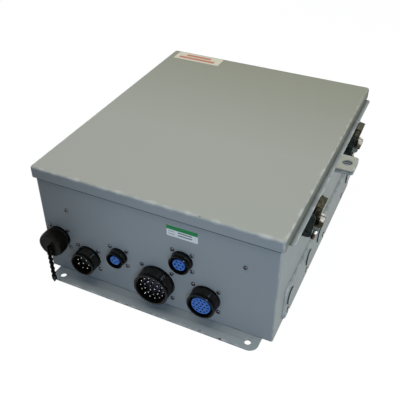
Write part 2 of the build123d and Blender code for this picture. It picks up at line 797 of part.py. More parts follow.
# Sub-panel on four welded studs with nuts
panel_width = body_width - 2 * (sheet + panel_side_gap)
panel_length = body_length - 2 * sheet - panel_wall_gap - panel_front_gap
panel_y = half_length - sheet - panel_wall_gap - panel_length / 2
floor_z = base_z + sheet
panel_z = floor_z + panel_rise
panel_top_z = panel_z + panel_thickness
stud_span_x = panel_width - 2 * panel_hole_inset
stud_span_y = panel_length - 2 * panel_hole_inset
with BuildPart() as sub_panel:
    with BuildSketch(Plane.XY.offset(panel_z)):
        with Locations((0, panel_y)):
            Rectangle(panel_width, panel_length)
            with GridLocations(stud_span_x, stud_span_y, 2, 2):
                Circle(stud_radius + seat_gap, mode=Mode.SUBTRACT)
    extrude(amount=panel_thickness)
save(sub_panel, "sub_panel")

with BuildPart() as panel_studs:
    with BuildSketch(Plane.XY.offset(floor_z)):
        with Locations((0, panel_y)):
            with GridLocations(stud_span_x, stud_span_y, 2, 2):
                Circle(2 * stud_radius)
    extrude(amount=panel_rise)
    with BuildSketch(Plane.XY.offset(panel_z)):
        with Locations((0, panel_y)):
            with GridLocations(stud_span_x, stud_span_y, 2, 2):
                Circle(stud_radius)
    extrude(amount=panel_thickness + stud_tail)
save(panel_studs, "panel_studs")

with BuildPart() as panel_nuts:
    with BuildSketch(Plane.XY.offset(panel_top_z)):
        with Locations((0, panel_y)):
            with GridLocations(stud_span_x, stud_span_y, 2, 2):
                RegularPolygon(nut_width / 2, 6, major_radius=False)
                Circle(stud_radius + running_gap, mode=Mode.SUBTRACT)
    extrude(amount=nut_height)
save(panel_nuts, "panel_nuts")

# Terminal strip near the receptacles: a finned block with a row of screws
panel_front_y = panel_y - panel_length / 2
strip_y = panel_front_y + panel_hole_inset + strip_front_gap + strip_width / 2
strip_length = panel_width - 2 * strip_side_gap
pole_pitch = strip_length / strip_pole_count
with BuildPart() as terminal_strip:
    with BuildSketch(Plane.XY.offset(panel_top_z)):
        with Locations((0, strip_y)):
            Rectangle(strip_length, strip_width)
    extrude(amount=strip_height)
    with BuildSketch(Plane.XY.offset(panel_top_z + strip_height)):
        with Locations((0, strip_y)):
            with GridLocations(pole_pitch, 0, strip_pole_count - 1, 1):
                Rectangle(fin_thickness, strip_width)
    extrude(amount=fin_height)
save(terminal_strip, "terminal_strip")

with BuildPart() as terminal_screws:
    with BuildSketch(Plane.XY.offset(panel_top_z + strip_height)):
        with Locations((0, strip_y)):
            with GridLocations(pole_pitch, 0, strip_pole_count, 1):
                Circle(terminal_radius)
    extrude(amount=terminal_height)
save(terminal_screws, "terminal_screws")

# Control board on standoffs, with a header, relays, capacitors and a supply transformer
board_width = panel_width - 2 * board_side_gap
board_front_y = strip_y + strip_width / 2 + board_gap
board_length = panel_y + panel_length / 2 - board_rear_gap - board_front_y
board_y = board_front_y + board_length / 2
board_z = panel_top_z + standoff_height
board_top_z = board_z + board_thickness
with BuildPart() as board_standoffs:
    with BuildSketch(Plane.XY.offset(panel_top_z)):
        with Locations((0, board_y)):
            with GridLocations(board_width - 2 * standoff_inset, board_length - 2 * standoff_inset, 2, 2):
                Circle(standoff_radius)
    extrude(amount=standoff_height)
save(board_standoffs, "board_standoffs")

with BuildPart() as control_board:
    with BuildSketch(Plane.XY.offset(board_z)):
        with Locations((0, board_y)):
            Rectangle(board_width, board_length)
    extrude(amount=board_thickness)
save(control_board, "control_board")

header_front_y = board_y - board_length / 2 + header_inset
with BuildPart() as board_header:
    with BuildSketch(Plane.XY.offset(board_top_z)):
        with Locations((0, header_front_y + header_width / 2)):
            Rectangle(header_length, header_width)
    extrude(amount=header_height)
save(board_header, "board_header")

with BuildPart() as relays:
    with BuildSketch(Plane.XY.offset(board_top_z)):
        with Locations((0, header_front_y + header_width + relay_gap + relay_length / 2)):
            with GridLocations(relay_spacing, 0, relay_count, 1):
                Rectangle(relay_width, relay_length)
    extrude(amount=relay_height)
save(relays, "relays")

supply_y = board_y + board_length / 2 - supply_inset
with BuildPart() as capacitors:
    with BuildSketch(Plane.XY.offset(board_top_z)):
        with Locations((-board_width / 4, supply_y)):
            with GridLocations(capacitor_spacing, 0, capacitor_count, 1):
                Circle(capacitor_radius)
    extrude(amount=capacitor_height)
save(capacitors, "capacitors")

with BuildPart() as transformer:
    with BuildSketch(Plane.XY.offset(board_top_z)):
        with Locations((board_width / 4, supply_y)):
            Rectangle(transformer_width, transformer_length * transformer_core_share)
    extrude(amount=transformer_height)
    with BuildSketch(Plane.XY.offset(board_top_z)):
        with Locations((board_width / 4, supply_y)):
            Rectangle(transformer_width * transformer_core_share, transformer_length)
    extrude(amount=transformer_height * (1 - transformer_core_share / 2))
save(transformer, "transformer")

# Wire looms: one bundle from each receptacle into the terminal strip's front face
loom_start_y = -half_length + shell_back
strip_front_y = strip_y - strip_width / 2
loom_end_z = panel_top_z + loom_entry_share * strip_height
with BuildPart() as wire_looms:
    for index in range(receptacle_count):
        loom_x = receptacle_centres[index][0]
        loom_z = base_z + receptacle_centres[index][1]
        entry_x = loom_gather_share * loom_x
        with BuildLine() as loom_path:
            FilletPolyline(
                (loom_x, loom_start_y, loom_z),
                (loom_x, loom_start_y + loom_lead, loom_z),
                (entry_x, strip_front_y - loom_lead, loom_end_z),
                (entry_x, strip_front_y, loom_end_z),
                radius=loom_bend_radius,
            )
        with BuildSketch(Plane.XZ.offset(-loom_start_y)):
            with Locations((loom_x, loom_z)):
                Circle(loom_radius_share * shell_diameters[index])
        sweep(path=loom_path.line)
save(wire_looms, "wire_looms")

# Board harness: two bundles from the strip's back face up to the board's header
strip_back_y = strip_y + strip_width / 2
harness_z = board_top_z + header_height / 2
with BuildPart() as board_harness:
    for index in range(harness_count):
        harness_x = (index - (harness_count - 1) / 2) * harness_spacing_share * board_width
        with BuildLine() as harness_path:
            FilletPolyline(
                (harness_x, strip_back_y, loom_end_z),
                (harness_x, strip_back_y + board_gap / 3, loom_end_z),
                (harness_x, header_front_y - board_gap / 3, harness_z),
                (harness_x, header_front_y, harness_z),
                radius=harness_bend_radius,
            )
        with BuildSketch(Plane.XZ.offset(-strip_back_y)):
            with Locations((harness_x, loom_end_z)):
                Circle(harness_radius)
        sweep(path=harness_path.line)
save(board_harness, "board_harness")
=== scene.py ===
# %% [markdown]
# # A sheet steel control box
# The box lies on its back with the lid up. Its front wall carries six round receptacles, its right
# side two swing-bolt clamps, a padlock hasp and a blanking plate. The solids come from the CAD model,
# and this lesson gives them their finishes and adds the small forms that a finish can't carry:
# threads, knurls, screw recesses, chain wire and printed plates.

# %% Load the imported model
import math

import bmesh
import bpy
from mathutils import Matrix, Vector
from mathutils.geometry import tessellate_polygon


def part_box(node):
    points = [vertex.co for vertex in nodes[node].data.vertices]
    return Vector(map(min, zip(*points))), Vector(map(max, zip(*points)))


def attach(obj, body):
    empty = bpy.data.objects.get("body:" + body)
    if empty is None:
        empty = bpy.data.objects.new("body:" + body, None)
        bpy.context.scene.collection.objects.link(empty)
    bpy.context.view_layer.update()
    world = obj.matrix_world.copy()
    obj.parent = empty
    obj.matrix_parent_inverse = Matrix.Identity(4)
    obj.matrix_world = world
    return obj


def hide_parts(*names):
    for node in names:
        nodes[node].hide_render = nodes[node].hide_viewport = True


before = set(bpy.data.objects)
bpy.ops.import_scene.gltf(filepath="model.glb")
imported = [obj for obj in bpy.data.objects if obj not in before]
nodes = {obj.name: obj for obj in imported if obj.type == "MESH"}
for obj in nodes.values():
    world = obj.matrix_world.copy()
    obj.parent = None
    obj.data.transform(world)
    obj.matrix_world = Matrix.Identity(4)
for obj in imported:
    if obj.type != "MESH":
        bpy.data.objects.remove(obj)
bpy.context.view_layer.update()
mm = 0.001

# %% [markdown]
# ## Camera
# The photograph looks down on the front right corner. Its place and turn were solved from the box's
# own corners, so they are written as one point and the three directions of the picture. Blender's
# camera looks along its own minus Z, so the picture's down and forward directions change sign.

# %% Camera
picture_width = 400
focal_length_px = 588.93
sensor_width = 36.0
camera_place = Vector((263.2, -611.5, 535.5)) * mm
picture_right = Vector((0.90412, 0.42727, 0.00197))
picture_down = Vector((0.25949, -0.54542, -0.79699))
picture_forward = Vector((-0.33946, 0.72108, -0.60399))

camera_data = bpy.data.cameras.new("camera")
camera_data.sensor_width = sensor_width
camera_data.lens = focal_length_px / picture_width * sensor_width
camera = bpy.data.objects.new("camera", camera_data)
turn = Matrix((picture_right, -picture_down, -picture_forward)).transposed()
camera.matrix_world = Matrix.Translation(camera_place) @ turn.to_4x4()
bpy.context.scene.collection.objects.link(camera)
bpy.context.scene.camera = camera
bpy.context.scene.view_settings.view_transform = "Standard"
print("lens", round(camera_data.lens, 2), "mm")

# %% [markdown]
# ## Helpers for every finish
# Colours are written as sRGB hex values, as a paint chart gives them, and Blender wants linear light,
# so one function turns them. The others fill a node's inputs, add a shader node with its settings, work
# out a pattern's scale and start a material. An object is in metres, so a pattern with cells of s
# millimetres has scale 1000/s, and every pattern is drawn from the place on the surface.

# %% Colour, node and scale helpers
def paint(code):
    """Linear colour of an sRGB hex value."""
    parts = [int(code[i:i + 2], 16) / 255 for i in (1, 3, 5)]
    linear = [p / 12.92 if p <= 0.04045 else ((p + 0.055) / 1.055) ** 2.4 for p in parts]
    return (*linear, 1.0)


def fill(tree, node, inputs):
    """Fill a node's inputs with values or links; a node stands for its first output."""
    for socket, value in inputs.items():
        if isinstance(value, bpy.types.Node):
            value = value.outputs[0]
        if isinstance(value, bpy.types.NodeSocket):
            tree.links.new(value, node.inputs[socket])
        else:
            node.inputs[socket].default_value = value


def add_node(tree, kind, inputs=None, **settings):
    """Add a shader node of a kind with its settings, then fill its inputs."""
    node = tree.nodes.new("ShaderNode" + kind)
    for name, value in settings.items():
        setattr(node, name, value)
    fill(tree, node, inputs or {})
    return node


def cells(place, size, **more):
    """Inputs of a pattern that is drawn from a place, its cells that many millimetres wide."""
    return {"Vector": place, "Scale": 1.0 / (size * mm), **more}


def new_finish(name, **sockets):
    """A material with its tree, its shader with these plain numbers, and the place on the surface."""
    finish = bpy.data.materials.new(name)
    finish.use_nodes = True
    tree = finish.node_tree
    shader = tree.nodes["Principled BSDF"]
    fill(tree, shader, {socket.replace("_", " "): value for socket, value in sockets.items()})
    place = add_node(tree, "TexCoord").outputs["Object"]
    return finish, tree, shader, place


print("helpers ready")

# %% [markdown]
# ## Floor and surroundings
# The object stands on a plain pale floor with white all round. What the camera, a gloss or a glass sees
# of the surroundings is plain white, and what lights the object is a faint pale blue dome. The floor mixes
# a matt grey of its own with a white glow, so that it looks pale and still keeps the object's shadow.

# %% Floor and surroundings
def seen_share(tree):
    """1 where the camera, a gloss or a glass looks, 0 where light is gathered."""
    path = add_node(tree, "LightPath").outputs
    mirrored = {0: path["Is Glossy Ray"], 1: path["Is Transmission Ray"]}
    mirror = add_node(tree, "Math", mirrored, operation="MAXIMUM")
    looked_at = {0: path["Is Camera Ray"], 1: mirror}
    return add_node(tree, "Math", looked_at, operation="MAXIMUM")


surround = bpy.data.worlds.new("white_surround")
surround.use_nodes = True
tree = surround.node_tree
tree.nodes.clear()
dome = add_node(tree, "Background", {"Color": paint("#DDE8F6"), "Strength": 0.20})
white = add_node(tree, "Background", {"Color": paint("#FFFFFF"), "Strength": 1.0})
mixed = add_node(tree, "MixShader", {0: seen_share(tree), 1: dome, 2: white})
add_node(tree, "OutputWorld", {"Surface": mixed})
bpy.context.scene.world = surround

floor_finish = bpy.data.materials.new("pale_floor")
floor_finish.use_nodes = True
tree = floor_finish.node_tree
tree.nodes.clear()
share = add_node(tree, "Math", {0: seen_share(tree), 1: 0.80}, operation="MULTIPLY")
matt = add_node(tree, "BsdfDiffuse", {"Color": paint("#A6A6A6")})
glow = add_node(tree, "Emission", {"Color": paint("#FFFFFF"), "Strength": 1.20})
mixed = add_node(tree, "MixShader", {0: share, 1: matt, 2: glow})
add_node(tree, "OutputMaterial", {"Surface": mixed})

floor_half = 6.0
floor_corners = [(x * floor_half, y * floor_half, 0) for x, y in ((-1, -1), (1, -1), (1, 1), (-1, 1))]
floor_mesh = bpy.data.meshes.new("floor")
floor_mesh.from_pydata(floor_corners, [], [(0, 1, 2, 3)])
floor_mesh.materials.append(floor_finish)
floor = bpy.data.objects.new("floor", floor_mesh)
bpy.context.scene.collection.objects.link(floor)
print("floor and surroundings made")

# %% [markdown]
# ## Lamps
# In the photograph the lid is the lightest face and a little warm, the clamp side is darker and the
# receptacle wall is darkest and cool. A soft lamp hangs over the lid, a little to the front, so that the
# far end falls off. A wide lamp stands on the right. A small cool one beside the camera lights the wall
# and draws the glints on the black shells. A weak one lies low in front and lightens the wall from
# below, and a lamp behind fills the two sides that the photograph doesn't show. The camera sees none.

# %% Lamps
def soft_lamp(name, place, aim, size, power, colour):
    """A square area lamp at a place in metres, turned to face its aim."""
    data = bpy.data.lights.new(name, "AREA")
    data.size = size
    data.energy = power
    data.color = paint(colour)[:3]
    lamp = bpy.data.objects.new(name, data)
    lamp.location = place
    lamp.rotation_euler = (Vector(aim) - Vector(place)).to_track_quat("-Z", "Y").to_euler()
    lamp.visible_camera = False
    bpy.context.scene.collection.objects.link(lamp)
    return lamp


box_middle = (0, 0, 0.08)
soft_lamp("overhead_lamp", (-0.04, -0.10, 0.92), box_middle, 0.9, 5.6, "#FFFBF5")
soft_lamp("right_lamp", (1.6, -0.1, 0.6), box_middle, 0.7, 8.6, "#F8FBF2")
back_lamp = soft_lamp("back_lamp", (-1.5, 1.4, 0.4), box_middle, 0.9, 9.0, "#FFFFFF")
soft_lamp("front_lamp", (0.34, -0.68, 0.40), (0.10, -0.18, 0.08), 0.10, 1.08, "#C2DBFF")
low_lamp = soft_lamp("low_front_lamp", (0.05, -0.44, 0.02), (0.06, -0.18, 0.06), 0.08, 0.10, "#E6EEFF")
back_lamp.visible_glossy = low_lamp.visible_glossy = False

# %% [markdown]
# ## Stoved enamel on folded steel
# The whole box is sprayed and baked grey enamel. Up close it has orange peel, a soft dimple about a
# millimetre and a half across; from further off it has a faint cloudiness. Along the edges the paint is
# lighter in patches, partly rubbed wear and partly a painted highlight along the bends, and here and there
# it is chipped to dark primer. Both are found from the place on the surface: of the three distances to the
# faces of the piece's own box, the second smallest is the distance to the nearest edge. Painted shade is
# laid on as a stain that fades between two levels of an axis, and two or three such fades hold it to a
# corner. It lies along the body's bottom edge at the foot, along the seam under the lid's flange, which is
# partly dirt too, towards the left ends of the wall and of the lid's front flange, towards the far end of
# the lid, on its right flange and far corner, in the corner of the lip and round the plugs' rims. In the
# same way the top of the lid is tinted warmer: painted light from the warm lamp above.

# %% Stoved enamel
grey = ("#979E9F", "#9EA5A5")
# A warmer grey for a lit top: painted light.
top_lit_grey = ("#A1A397", "#A8AAA0")
# Lighter grey of rubbed edges, which also paints a highlight along the bends and the side plate's top edge.
rub_and_highlight_grey = "#C9CBC6"
dark_primer = "#3C3D3B"
red_primer = "#5A3D38"


def stain_and_shade(tree, colour, place, mark):
    """Mix a colour with a mark (a real stain, or painted light or shade): hex, share, then fades (axis, full,
    gone) along axes of the place.
    """
    code, fade, *fades = mark
    along = add_node(tree, "SeparateXYZ", {0: place}).outputs
    for axis, full, gone in fades:
        levels = {"Value": along[axis], "From Min": full, "From Max": gone, "To Min": fade, "To Max": 0.0}
        fade = add_node(tree, "MapRange", levels)
    inputs = {0: fade, 6: colour, 7: paint(code)}
    return add_node(tree, "Mix", inputs, data_type="RGBA").outputs[2]


def edge_distance(tree, place, low, high):
    """Distance from a place on a box's skin to the nearest edge of the box."""
    above = add_node(tree, "VectorMath", {0: place, 1: low}, operation="SUBTRACT")
    below = add_node(tree, "VectorMath", {0: high, 1: place}, operation="SUBTRACT")
    nearest = add_node(tree, "VectorMath", {0: above, 1: below}, operation="MINIMUM")
    x, y, z = add_node(tree, "SeparateXYZ", {0: nearest}).outputs
    small = add_node(tree, "Math", {0: x, 1: y}, operation="MINIMUM")
    large = add_node(tree, "Math", {0: x, 1: y}, operation="MAXIMUM")
    third = add_node(tree, "Math", {0: large, 1: z}, operation="MINIMUM")
    return add_node(tree, "Math", {0: small, 1: third}, operation="MAXIMUM")


def stoved_enamel(name, box, chips, rub_and_highlight=3.0, shades=grey, primer=dark_primer, tint=None, stains_and_shades=()):
    """Baked enamel with orange peel, cloudiness, chipped edges, edges lighter in patches (rubbed wear and
    painted highlight), a tint of painted light, and painted shade and dirt.
    """
    finish, tree, shader, place = new_finish(name, IOR=1.5, Specular_IOR_Level=0.12)
    clouds = add_node(tree, "TexNoise", cells(place, 70, Detail=3.0))
    tones = {0: clouds, 6: paint(shades[0]), 7: paint(shades[1])}
    skin = add_node(tree, "Mix", tones, data_type="RGBA").outputs[2]
    # The tint is painted light on the top of the lid.
    if tint:
        skin = stain_and_shade(tree, skin, place, tint)
    edge = edge_distance(tree, place, *box)

    # Edges lighter in patches: rubbed wear, and partly a painted highlight.
    rubs = add_node(tree, "TexNoise", cells(place, 14, Detail=5.0))
    patch = {"Value": rubs, "From Min": 0.34, "From Max": 0.60, "To Max": rub_and_highlight * mm}
    width = add_node(tree, "MapRange", patch)
    close = add_node(tree, "Math", {0: width, 1: edge}, operation="SUBTRACT")
    worn = {"Value": close, "From Min": 0.0, "From Max": rub_and_highlight * mm, "To Max": 0.75}
    rubbed = add_node(tree, "MapRange", worn)
    rub_and_highlight_mix = {0: rubbed, 6: skin, 7: paint(rub_and_highlight_grey)}
    skin = add_node(tree, "Mix", rub_and_highlight_mix, data_type="RGBA").outputs[2]

    flakes = add_node(tree, "TexNoise", cells(place, 5, Detail=4.0, Roughness=0.6))
    reach = {"Value": flakes, "From Min": chips, "From Max": 0.8, "To Max": 5 * mm}
    depth = add_node(tree, "MapRange", reach)
    chip = add_node(tree, "Math", {0: edge, 1: depth}, operation="LESS_THAN")
    skin = add_node(tree, "Mix", {0: chip, 6: skin, 7: paint(primer)}, data_type="RGBA").outputs[2]
    for mark in stains_and_shades:
        skin = stain_and_shade(tree, skin, place, mark)

    smears = add_node(tree, "TexNoise", cells(place, 25, Detail=5.0))
    gloss = add_node(tree, "MapRange", {"Value": smears, "To Min": 0.36, "To Max": 0.54})
    peel = add_node(tree, "TexNoise", cells(place, 1.5, Detail=1.0))
    height = add_node(tree, "Math", {0: peel, 1: chip}, operation="SUBTRACT")
    bump = add_node(tree, "Bump", {"Strength": 0.10, "Distance": 0.05 * mm, "Height": height})
    fill(tree, shader, {"Base Color": skin, "Roughness": gloss, "Normal": bump})
    return finish


body_low, body_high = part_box("enclosure_body")
lid_low, lid_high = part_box("lid")
plug_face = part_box("hole_plugs")[1].x
# Dark grey of painted shade in the seams, partly dirt under the lid's flange.
shade_and_dirt_grey = "#24282C"
# Painted shade: the wall darkens towards its left end.
left_end_shade = ("#43484A", 0.46, (0, body_low.x, body_low.x + 120 * mm))
# Painted shadow: a dark line along the body's bottom edge, at the seam with the foot.
foot_seam_shade = (shade_and_dirt_grey, 0.8, (2, body_low.z, body_low.z + 1.6 * mm))
# Painted shadow, partly dirt: a dark line on the wall just under the lid's flange.
flange_shadow_and_dirt = (shade_and_dirt_grey, 0.85, (2, lid_low.z - 3.7 * mm, lid_low.z - 4.5 * mm))
# Painted shade: a dark rim round each plug's face, for the shaded gap at its edge.
plug_rim_shade = ("#1E2124", 0.95, (0, plug_face - 0.5 * mm, plug_face - 0.4 * mm))
# Painted light: the top of the lid is tinted warmer than its flanges.
painted_top_light = ("#A0A39A", 0.9, (2, lid_high.z - 0.6 * mm, lid_high.z - 2.4 * mm))
# Painted shade: the lid darkens and turns olive towards its far end.
far_end_shade = ("#868973", 0.62, (1, lid_high.y, -40 * mm))
right_flange = (0, lid_high.x - 0.2 * mm, lid_high.x - 1.0 * mm)
front_flange = (1, lid_low.y + 0.2 * mm, lid_low.y + 1.0 * mm)
# Painted shade on the outer face of the lid's right flange.
right_flange_shade = ("#5C5E50", 0.7, right_flange)
right_edge = (0, lid_high.x - 4.0 * mm, lid_high.x - 6.0 * mm)
far_end = (1, lid_high.y - 8.0 * mm, lid_high.y - 24.0 * mm)
below_top = (2, lid_high.z - 3.0 * mm, lid_high.z - 1.2 * mm)
# Painted shade in the lid's far right corner, down the flange below its top.
far_corner_shade = ("#1B1B15", 0.9, right_edge, far_end, below_top)
# Painted shade: the lid's front flange darkens towards its left end.
left_flange_shade = ("#43484A", 0.40, front_flange, (0, lid_low.x, lid_low.x + 150 * mm))
open_low = lid_low - Vector((0, 0, 50 * mm))
enamel_body = stoved_enamel(
    "grey_stoved_enamel_on_body", (body_low, body_high), 0.72, 2.0, stains_and_shades=(foot_seam_shade, flange_shadow_and_dirt, left_end_shade)
)
enamel_lid = stoved_enamel(
    "grey_stoved_enamel_on_lid", (open_low, lid_high), 0.66, 5.0, tint=painted_top_light,
    stains_and_shades=(far_end_shade, right_flange_shade, far_corner_shade, left_flange_shade)
)
# Painted shade on the lip, in the corner along the lid's right flange.
lip_corner_shade = ("#3E4038", 0.75, (0, lid_high.x + 0.3 * mm, lid_high.x + 3.5 * mm))
enamel_lip = stoved_enamel("grey_stoved_enamel_on_lip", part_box("lid_lip"), 0.72, stains_and_shades=(lip_corner_shade,))
enamel_foot = {}
for end in ("front", "rear"):
    name = f"grey_stoved_enamel_on_{end}_foot"
    enamel_foot[end] = stoved_enamel(name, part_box(f"mounting_foot_{end}"), 0.60, 2.0, primer=red_primer)
enamel_plate = stoved_enamel("grey_stoved_enamel_on_side_plate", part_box("side_plate"), 0.72, 6.0)
enamel_plug = stoved_enamel(
    "grey_stoved_enamel_on_plugs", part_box("hole_plugs"), 0.74, 2.0, stains_and_shades=(plug_rim_shade,)
)
# The hasp's lid tab is painted in the warmer top-lit grey: painted light.
enamel_tab = stoved_enamel("grey_stoved_enamel_on_hasp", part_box("hasp_lid_tab"), 0.74, shades=top_lit_grey)
enamel_angle = stoved_enamel("grey_stoved_enamel_on_angle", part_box("hasp_body_tab"), 0.74)
print("enamels", len([m for m in bpy.data.materials if "enamel" in m.name]))

# %% [markdown]
# ## Black anodised aluminium
# The receptacle shells and the dust cap are turned aluminium, anodised black and sealed. Aluminium oxide
# is clear and hard, so the finish is a deep black with a clear gloss, and a turning tool leaves rings
# about 0.3 mm apart. Rings that fine don't show here, so shallow swells stand for them. Blender draws
# about three bands of a wave in a cell, so cells of 16 mm put the swells 5 mm apart.

# %% Black anodised aluminium
def black_anodised(name, colour, rubbed, roughness, gloss):
    """Turned and black anodised aluminium with shallow tool rings along Y and rubbed patches."""
    finish, tree, shader, place = new_finish(name, IOR=1.76, Specular_IOR_Level=gloss)
    rubs = add_node(tree, "TexNoise", cells(place, 6, Detail=5.0, Roughness=0.65))
    shade = add_node(tree, "ValToRGB", {0: rubs})
    shade.color_ramp.elements[0].position = 0.45
    shade.color_ramp.elements[0].color = paint(colour)
    shade.color_ramp.elements[1].position = 0.80
    shade.color_ramp.elements[1].color = paint(rubbed)
    spread = {"Value": rubs, "To Min": roughness - 0.06, "To Max": roughness + 0.10}
    rough = add_node(tree, "MapRange", spread)
    rings = add_node(tree, "TexWave", cells(place, 16), bands_direction="Y").outputs[1]
    bump = add_node(tree, "Bump", {"Strength": 0.10, "Distance": 0.02 * mm, "Height": rings})
    fill(tree, shader, {"Base Color": shade, "Roughness": rough, "Normal": bump})
    return finish


anodised_shell = black_anodised("black_anodised_aluminium", "#050606", "#0D0D0C", 0.10, 0.07)
anodised_cap = black_anodised("black_anodised_aluminium_cap", "#0B0A08", "#1A1712", 0.30, 0.03)
print(anodised_shell.name, anodised_cap.name)

# %% [markdown]
# ## Moulded inserts
# The socket inserts are a soft blue moulding that seals round each contact. A moulded rubber face is
# satin with a fine bloom, and deep in the groove round its boss it is painted dark, as painted shade.
# The pin inserts are dark, one of them navy: the blue darkened as painted shade deep in its shell.

# %% Moulded inserts
def moulded(name, colour, mottle, roughness, grit, stains_and_shades=()):
    """A moulded plastic or rubber with a faint mottle and a satin skin of that grit in millimetres."""
    finish, tree, shader, place = new_finish(name, IOR=1.52, Specular_IOR_Level=0.35)
    speck = add_node(tree, "TexNoise", cells(place, grit * 6, Detail=4.0))
    tint = {0: speck, 6: paint(colour), 7: paint(mottle)}
    skin = add_node(tree, "Mix", tint, data_type="RGBA").outputs[2]
    for mark in stains_and_shades:
        skin = stain_and_shade(tree, skin, place, mark)
    spread = {"Value": speck, "To Min": roughness - 0.07, "To Max": roughness + 0.07}
    rough = add_node(tree, "MapRange", spread)
    pores = add_node(tree, "TexNoise", cells(place, grit, Detail=1.0))
    dimple = {"Strength": 0.12, "Distance": 0.04 * mm, "Height": pores}
    bump = add_node(tree, "Bump", dimple)
    fill(tree, shader, {"Base Color": skin, "Roughness": rough, "Normal": bump})
    return finish


wall_y = body_low.y
out_of_wall = (0, -1, 0)
# Painted shade: the insert is dark deep in the groove round its boss.
groove_shade = ("#0B0C0E", 1.0, (1, wall_y - 6.8 * mm, wall_y - 7.2 * mm))
blue_insert = moulded("blue_moulded_neoprene", "#2960AE", "#3C76C6", 0.48, 0.5, (groove_shade,))
# Painted shade: receptacle 4's insert is the blue moulding darkened to navy, deep in its shell.
shaded_blue_insert = moulded("blue_moulded_neoprene_in_painted_shade", "#0B1026", "#101832", 0.48, 0.5)
dark_insert = moulded("dark_phenolic_moulding", "#0E0F11", "#16171A", 0.42, 0.5)
sponge_rubber = moulded("black_sponge_rubber", "#131416", "#1E1F21", 0.85, 0.9)
print(blue_insert.name, shaded_blue_insert.name, dark_insert.name, sponge_rubber.name)

# %% [markdown]
# ## Plated and bare metals
# The clamp screws and the side plate's screws are bright zinc plate. The wall screws are zinc plate blotched
# near black and light, painted shade and a painted glint. The clamp straps are zinc with a yellow passivation
# that has worn to olive, blotched near black as a painted dark reflection. The brackets are zinc painted
# dark, painted shade and a painted dark reflection, and the pins are silver plate with dark patches of
# painted shade. The chain is blackened. A metal has its colour in its reflection, so metallic is 1 and the
# IOR stays at its default. Plating is never quite even, so the roughness has blotches a few millimetres
# across.

# %% Plated and bare metals
def plated(name, colour, mark, roughness, blotch, tip=None):
    """A plated metal with darker blotches of that size in millimetres, painted shade on some, and perhaps a
    stained tip.
    """
    finish, tree, shader, place = new_finish(name, Metallic=1.0)
    cloud = add_node(tree, "TexNoise", cells(place, blotch, Detail=6.0, Roughness=0.6))
    tint = add_node(tree, "ValToRGB", {0: cloud})
    tint.color_ramp.elements[0].position = 0.32
    tint.color_ramp.elements[0].color = paint(mark)
    tint.color_ramp.elements[1].position = 0.62
    tint.color_ramp.elements[1].color = paint(colour)
    skin = stain_and_shade(tree, tint, place, tip) if tip else tint
    spread = {"Value": cloud, "To Min": roughness + 0.14, "To Max": roughness - 0.08}
    rough = add_node(tree, "MapRange", spread)
    pits = add_node(tree, "TexNoise", cells(place, 0.7, Detail=2.0))
    dent = {"Strength": 0.15, "Distance": 0.02 * mm, "Height": pits}
    bump = add_node(tree, "Bump", dent)
    fill(tree, shader, {"Base Color": skin, "Roughness": rough, "Normal": bump})
    return finish


clamp_pivot_z = sum(corner.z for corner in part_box("clamp_front_pin")) / 2
rusty_tip = ("#3A1E1A", 0.95, (2, clamp_pivot_z - 13.5 * mm, clamp_pivot_z - 12.0 * mm))
bright_zinc = plated("bright_zinc_plate", "#D9D8D2", "#8F8D82", 0.24, 4)
bolt_zinc = plated("bright_zinc_plate_with_rusty_tip", "#E2E1DC", "#9A988C", 0.22, 4, rusty_tip)
# Near black blotches on the olive straps: painted dark reflection.
olive_zinc_with_painted_reflection = plated("yellow_passivated_zinc", "#545140", "#0D0C08", 0.28, 3)
# The brackets' dark zinc: painted shade and a painted dark reflection.
zinc_with_painted_shade = plated("dark_zinc_plate_with_painted_shade", "#343C3A", "#171C1B", 0.40, 6)
dull_zinc = plated("weathered_zinc_plate", "#7F8684", "#4A504F", 0.36, 7)
# Near black and light blotches on the wall screws: painted shade and a painted glint.
glint_and_shade_zinc = plated("zinc_plate_with_painted_glint_and_shade", "#76777B", "#050507", 0.16, 1.8)
# Dark patches on the silver pins: painted shade.
silver_with_painted_shade = plated("silver_plated_contact", "#E2DED4", "#4A463E", 0.16, 1.6)
black_steel = plated("blackened_steel", "#131314", "#08080A", 0.42, 3)
brass = plated("turned_brass", "#C9A45C", "#86683A", 0.26, 4)
print("metals", bright_zinc.name, silver_with_painted_shade.name, black_steel.name, brass.name)

# %% [markdown]
# ## Finishes inside the box
# Under the lid are a white painted sub-panel, a glass fibre board, black relays and a finned terminal
# strip, sleeved aluminium cans, a laminated iron core and braided looms. The board's copper shows
# through its green resist as lighter lanes, and the braid as a fine slanted lattice.

# %% Finishes inside the box
panel_white = ("#D5D6D2", "#DEDFDB")
white_panel = stoved_enamel("white_stoved_enamel_on_panel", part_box("sub_panel"), 0.70, shades=panel_white)
relay_black = moulded("black_moulded_nylon", "#1E2023", "#2A2C30", 0.40, 0.6)
can_sleeve = moulded("blue_grey_shrink_sleeve", "#2C3B55", "#374866", 0.30, 1.2)

laminate, tree, shader, place = new_finish(
    "green_glass_fibre_laminate", IOR=1.55, Roughness=0.32, Coat_Weight=0.3
)
copper = {"Color1": paint("#1F5B38"), "Color2": paint("#245F3C"), "Mortar": paint("#4F8A5C")}
lanes = add_node(tree, "TexBrick", {**cells(place, 10), "Mortar Size": 0.06, **copper}, offset=0.37).outputs
bump = add_node(tree, "Bump", {"Strength": 0.3, "Distance": 0.04 * mm, "Height": lanes[1]})
fill(tree, shader, {"Base Color": lanes[0], "Normal": bump})

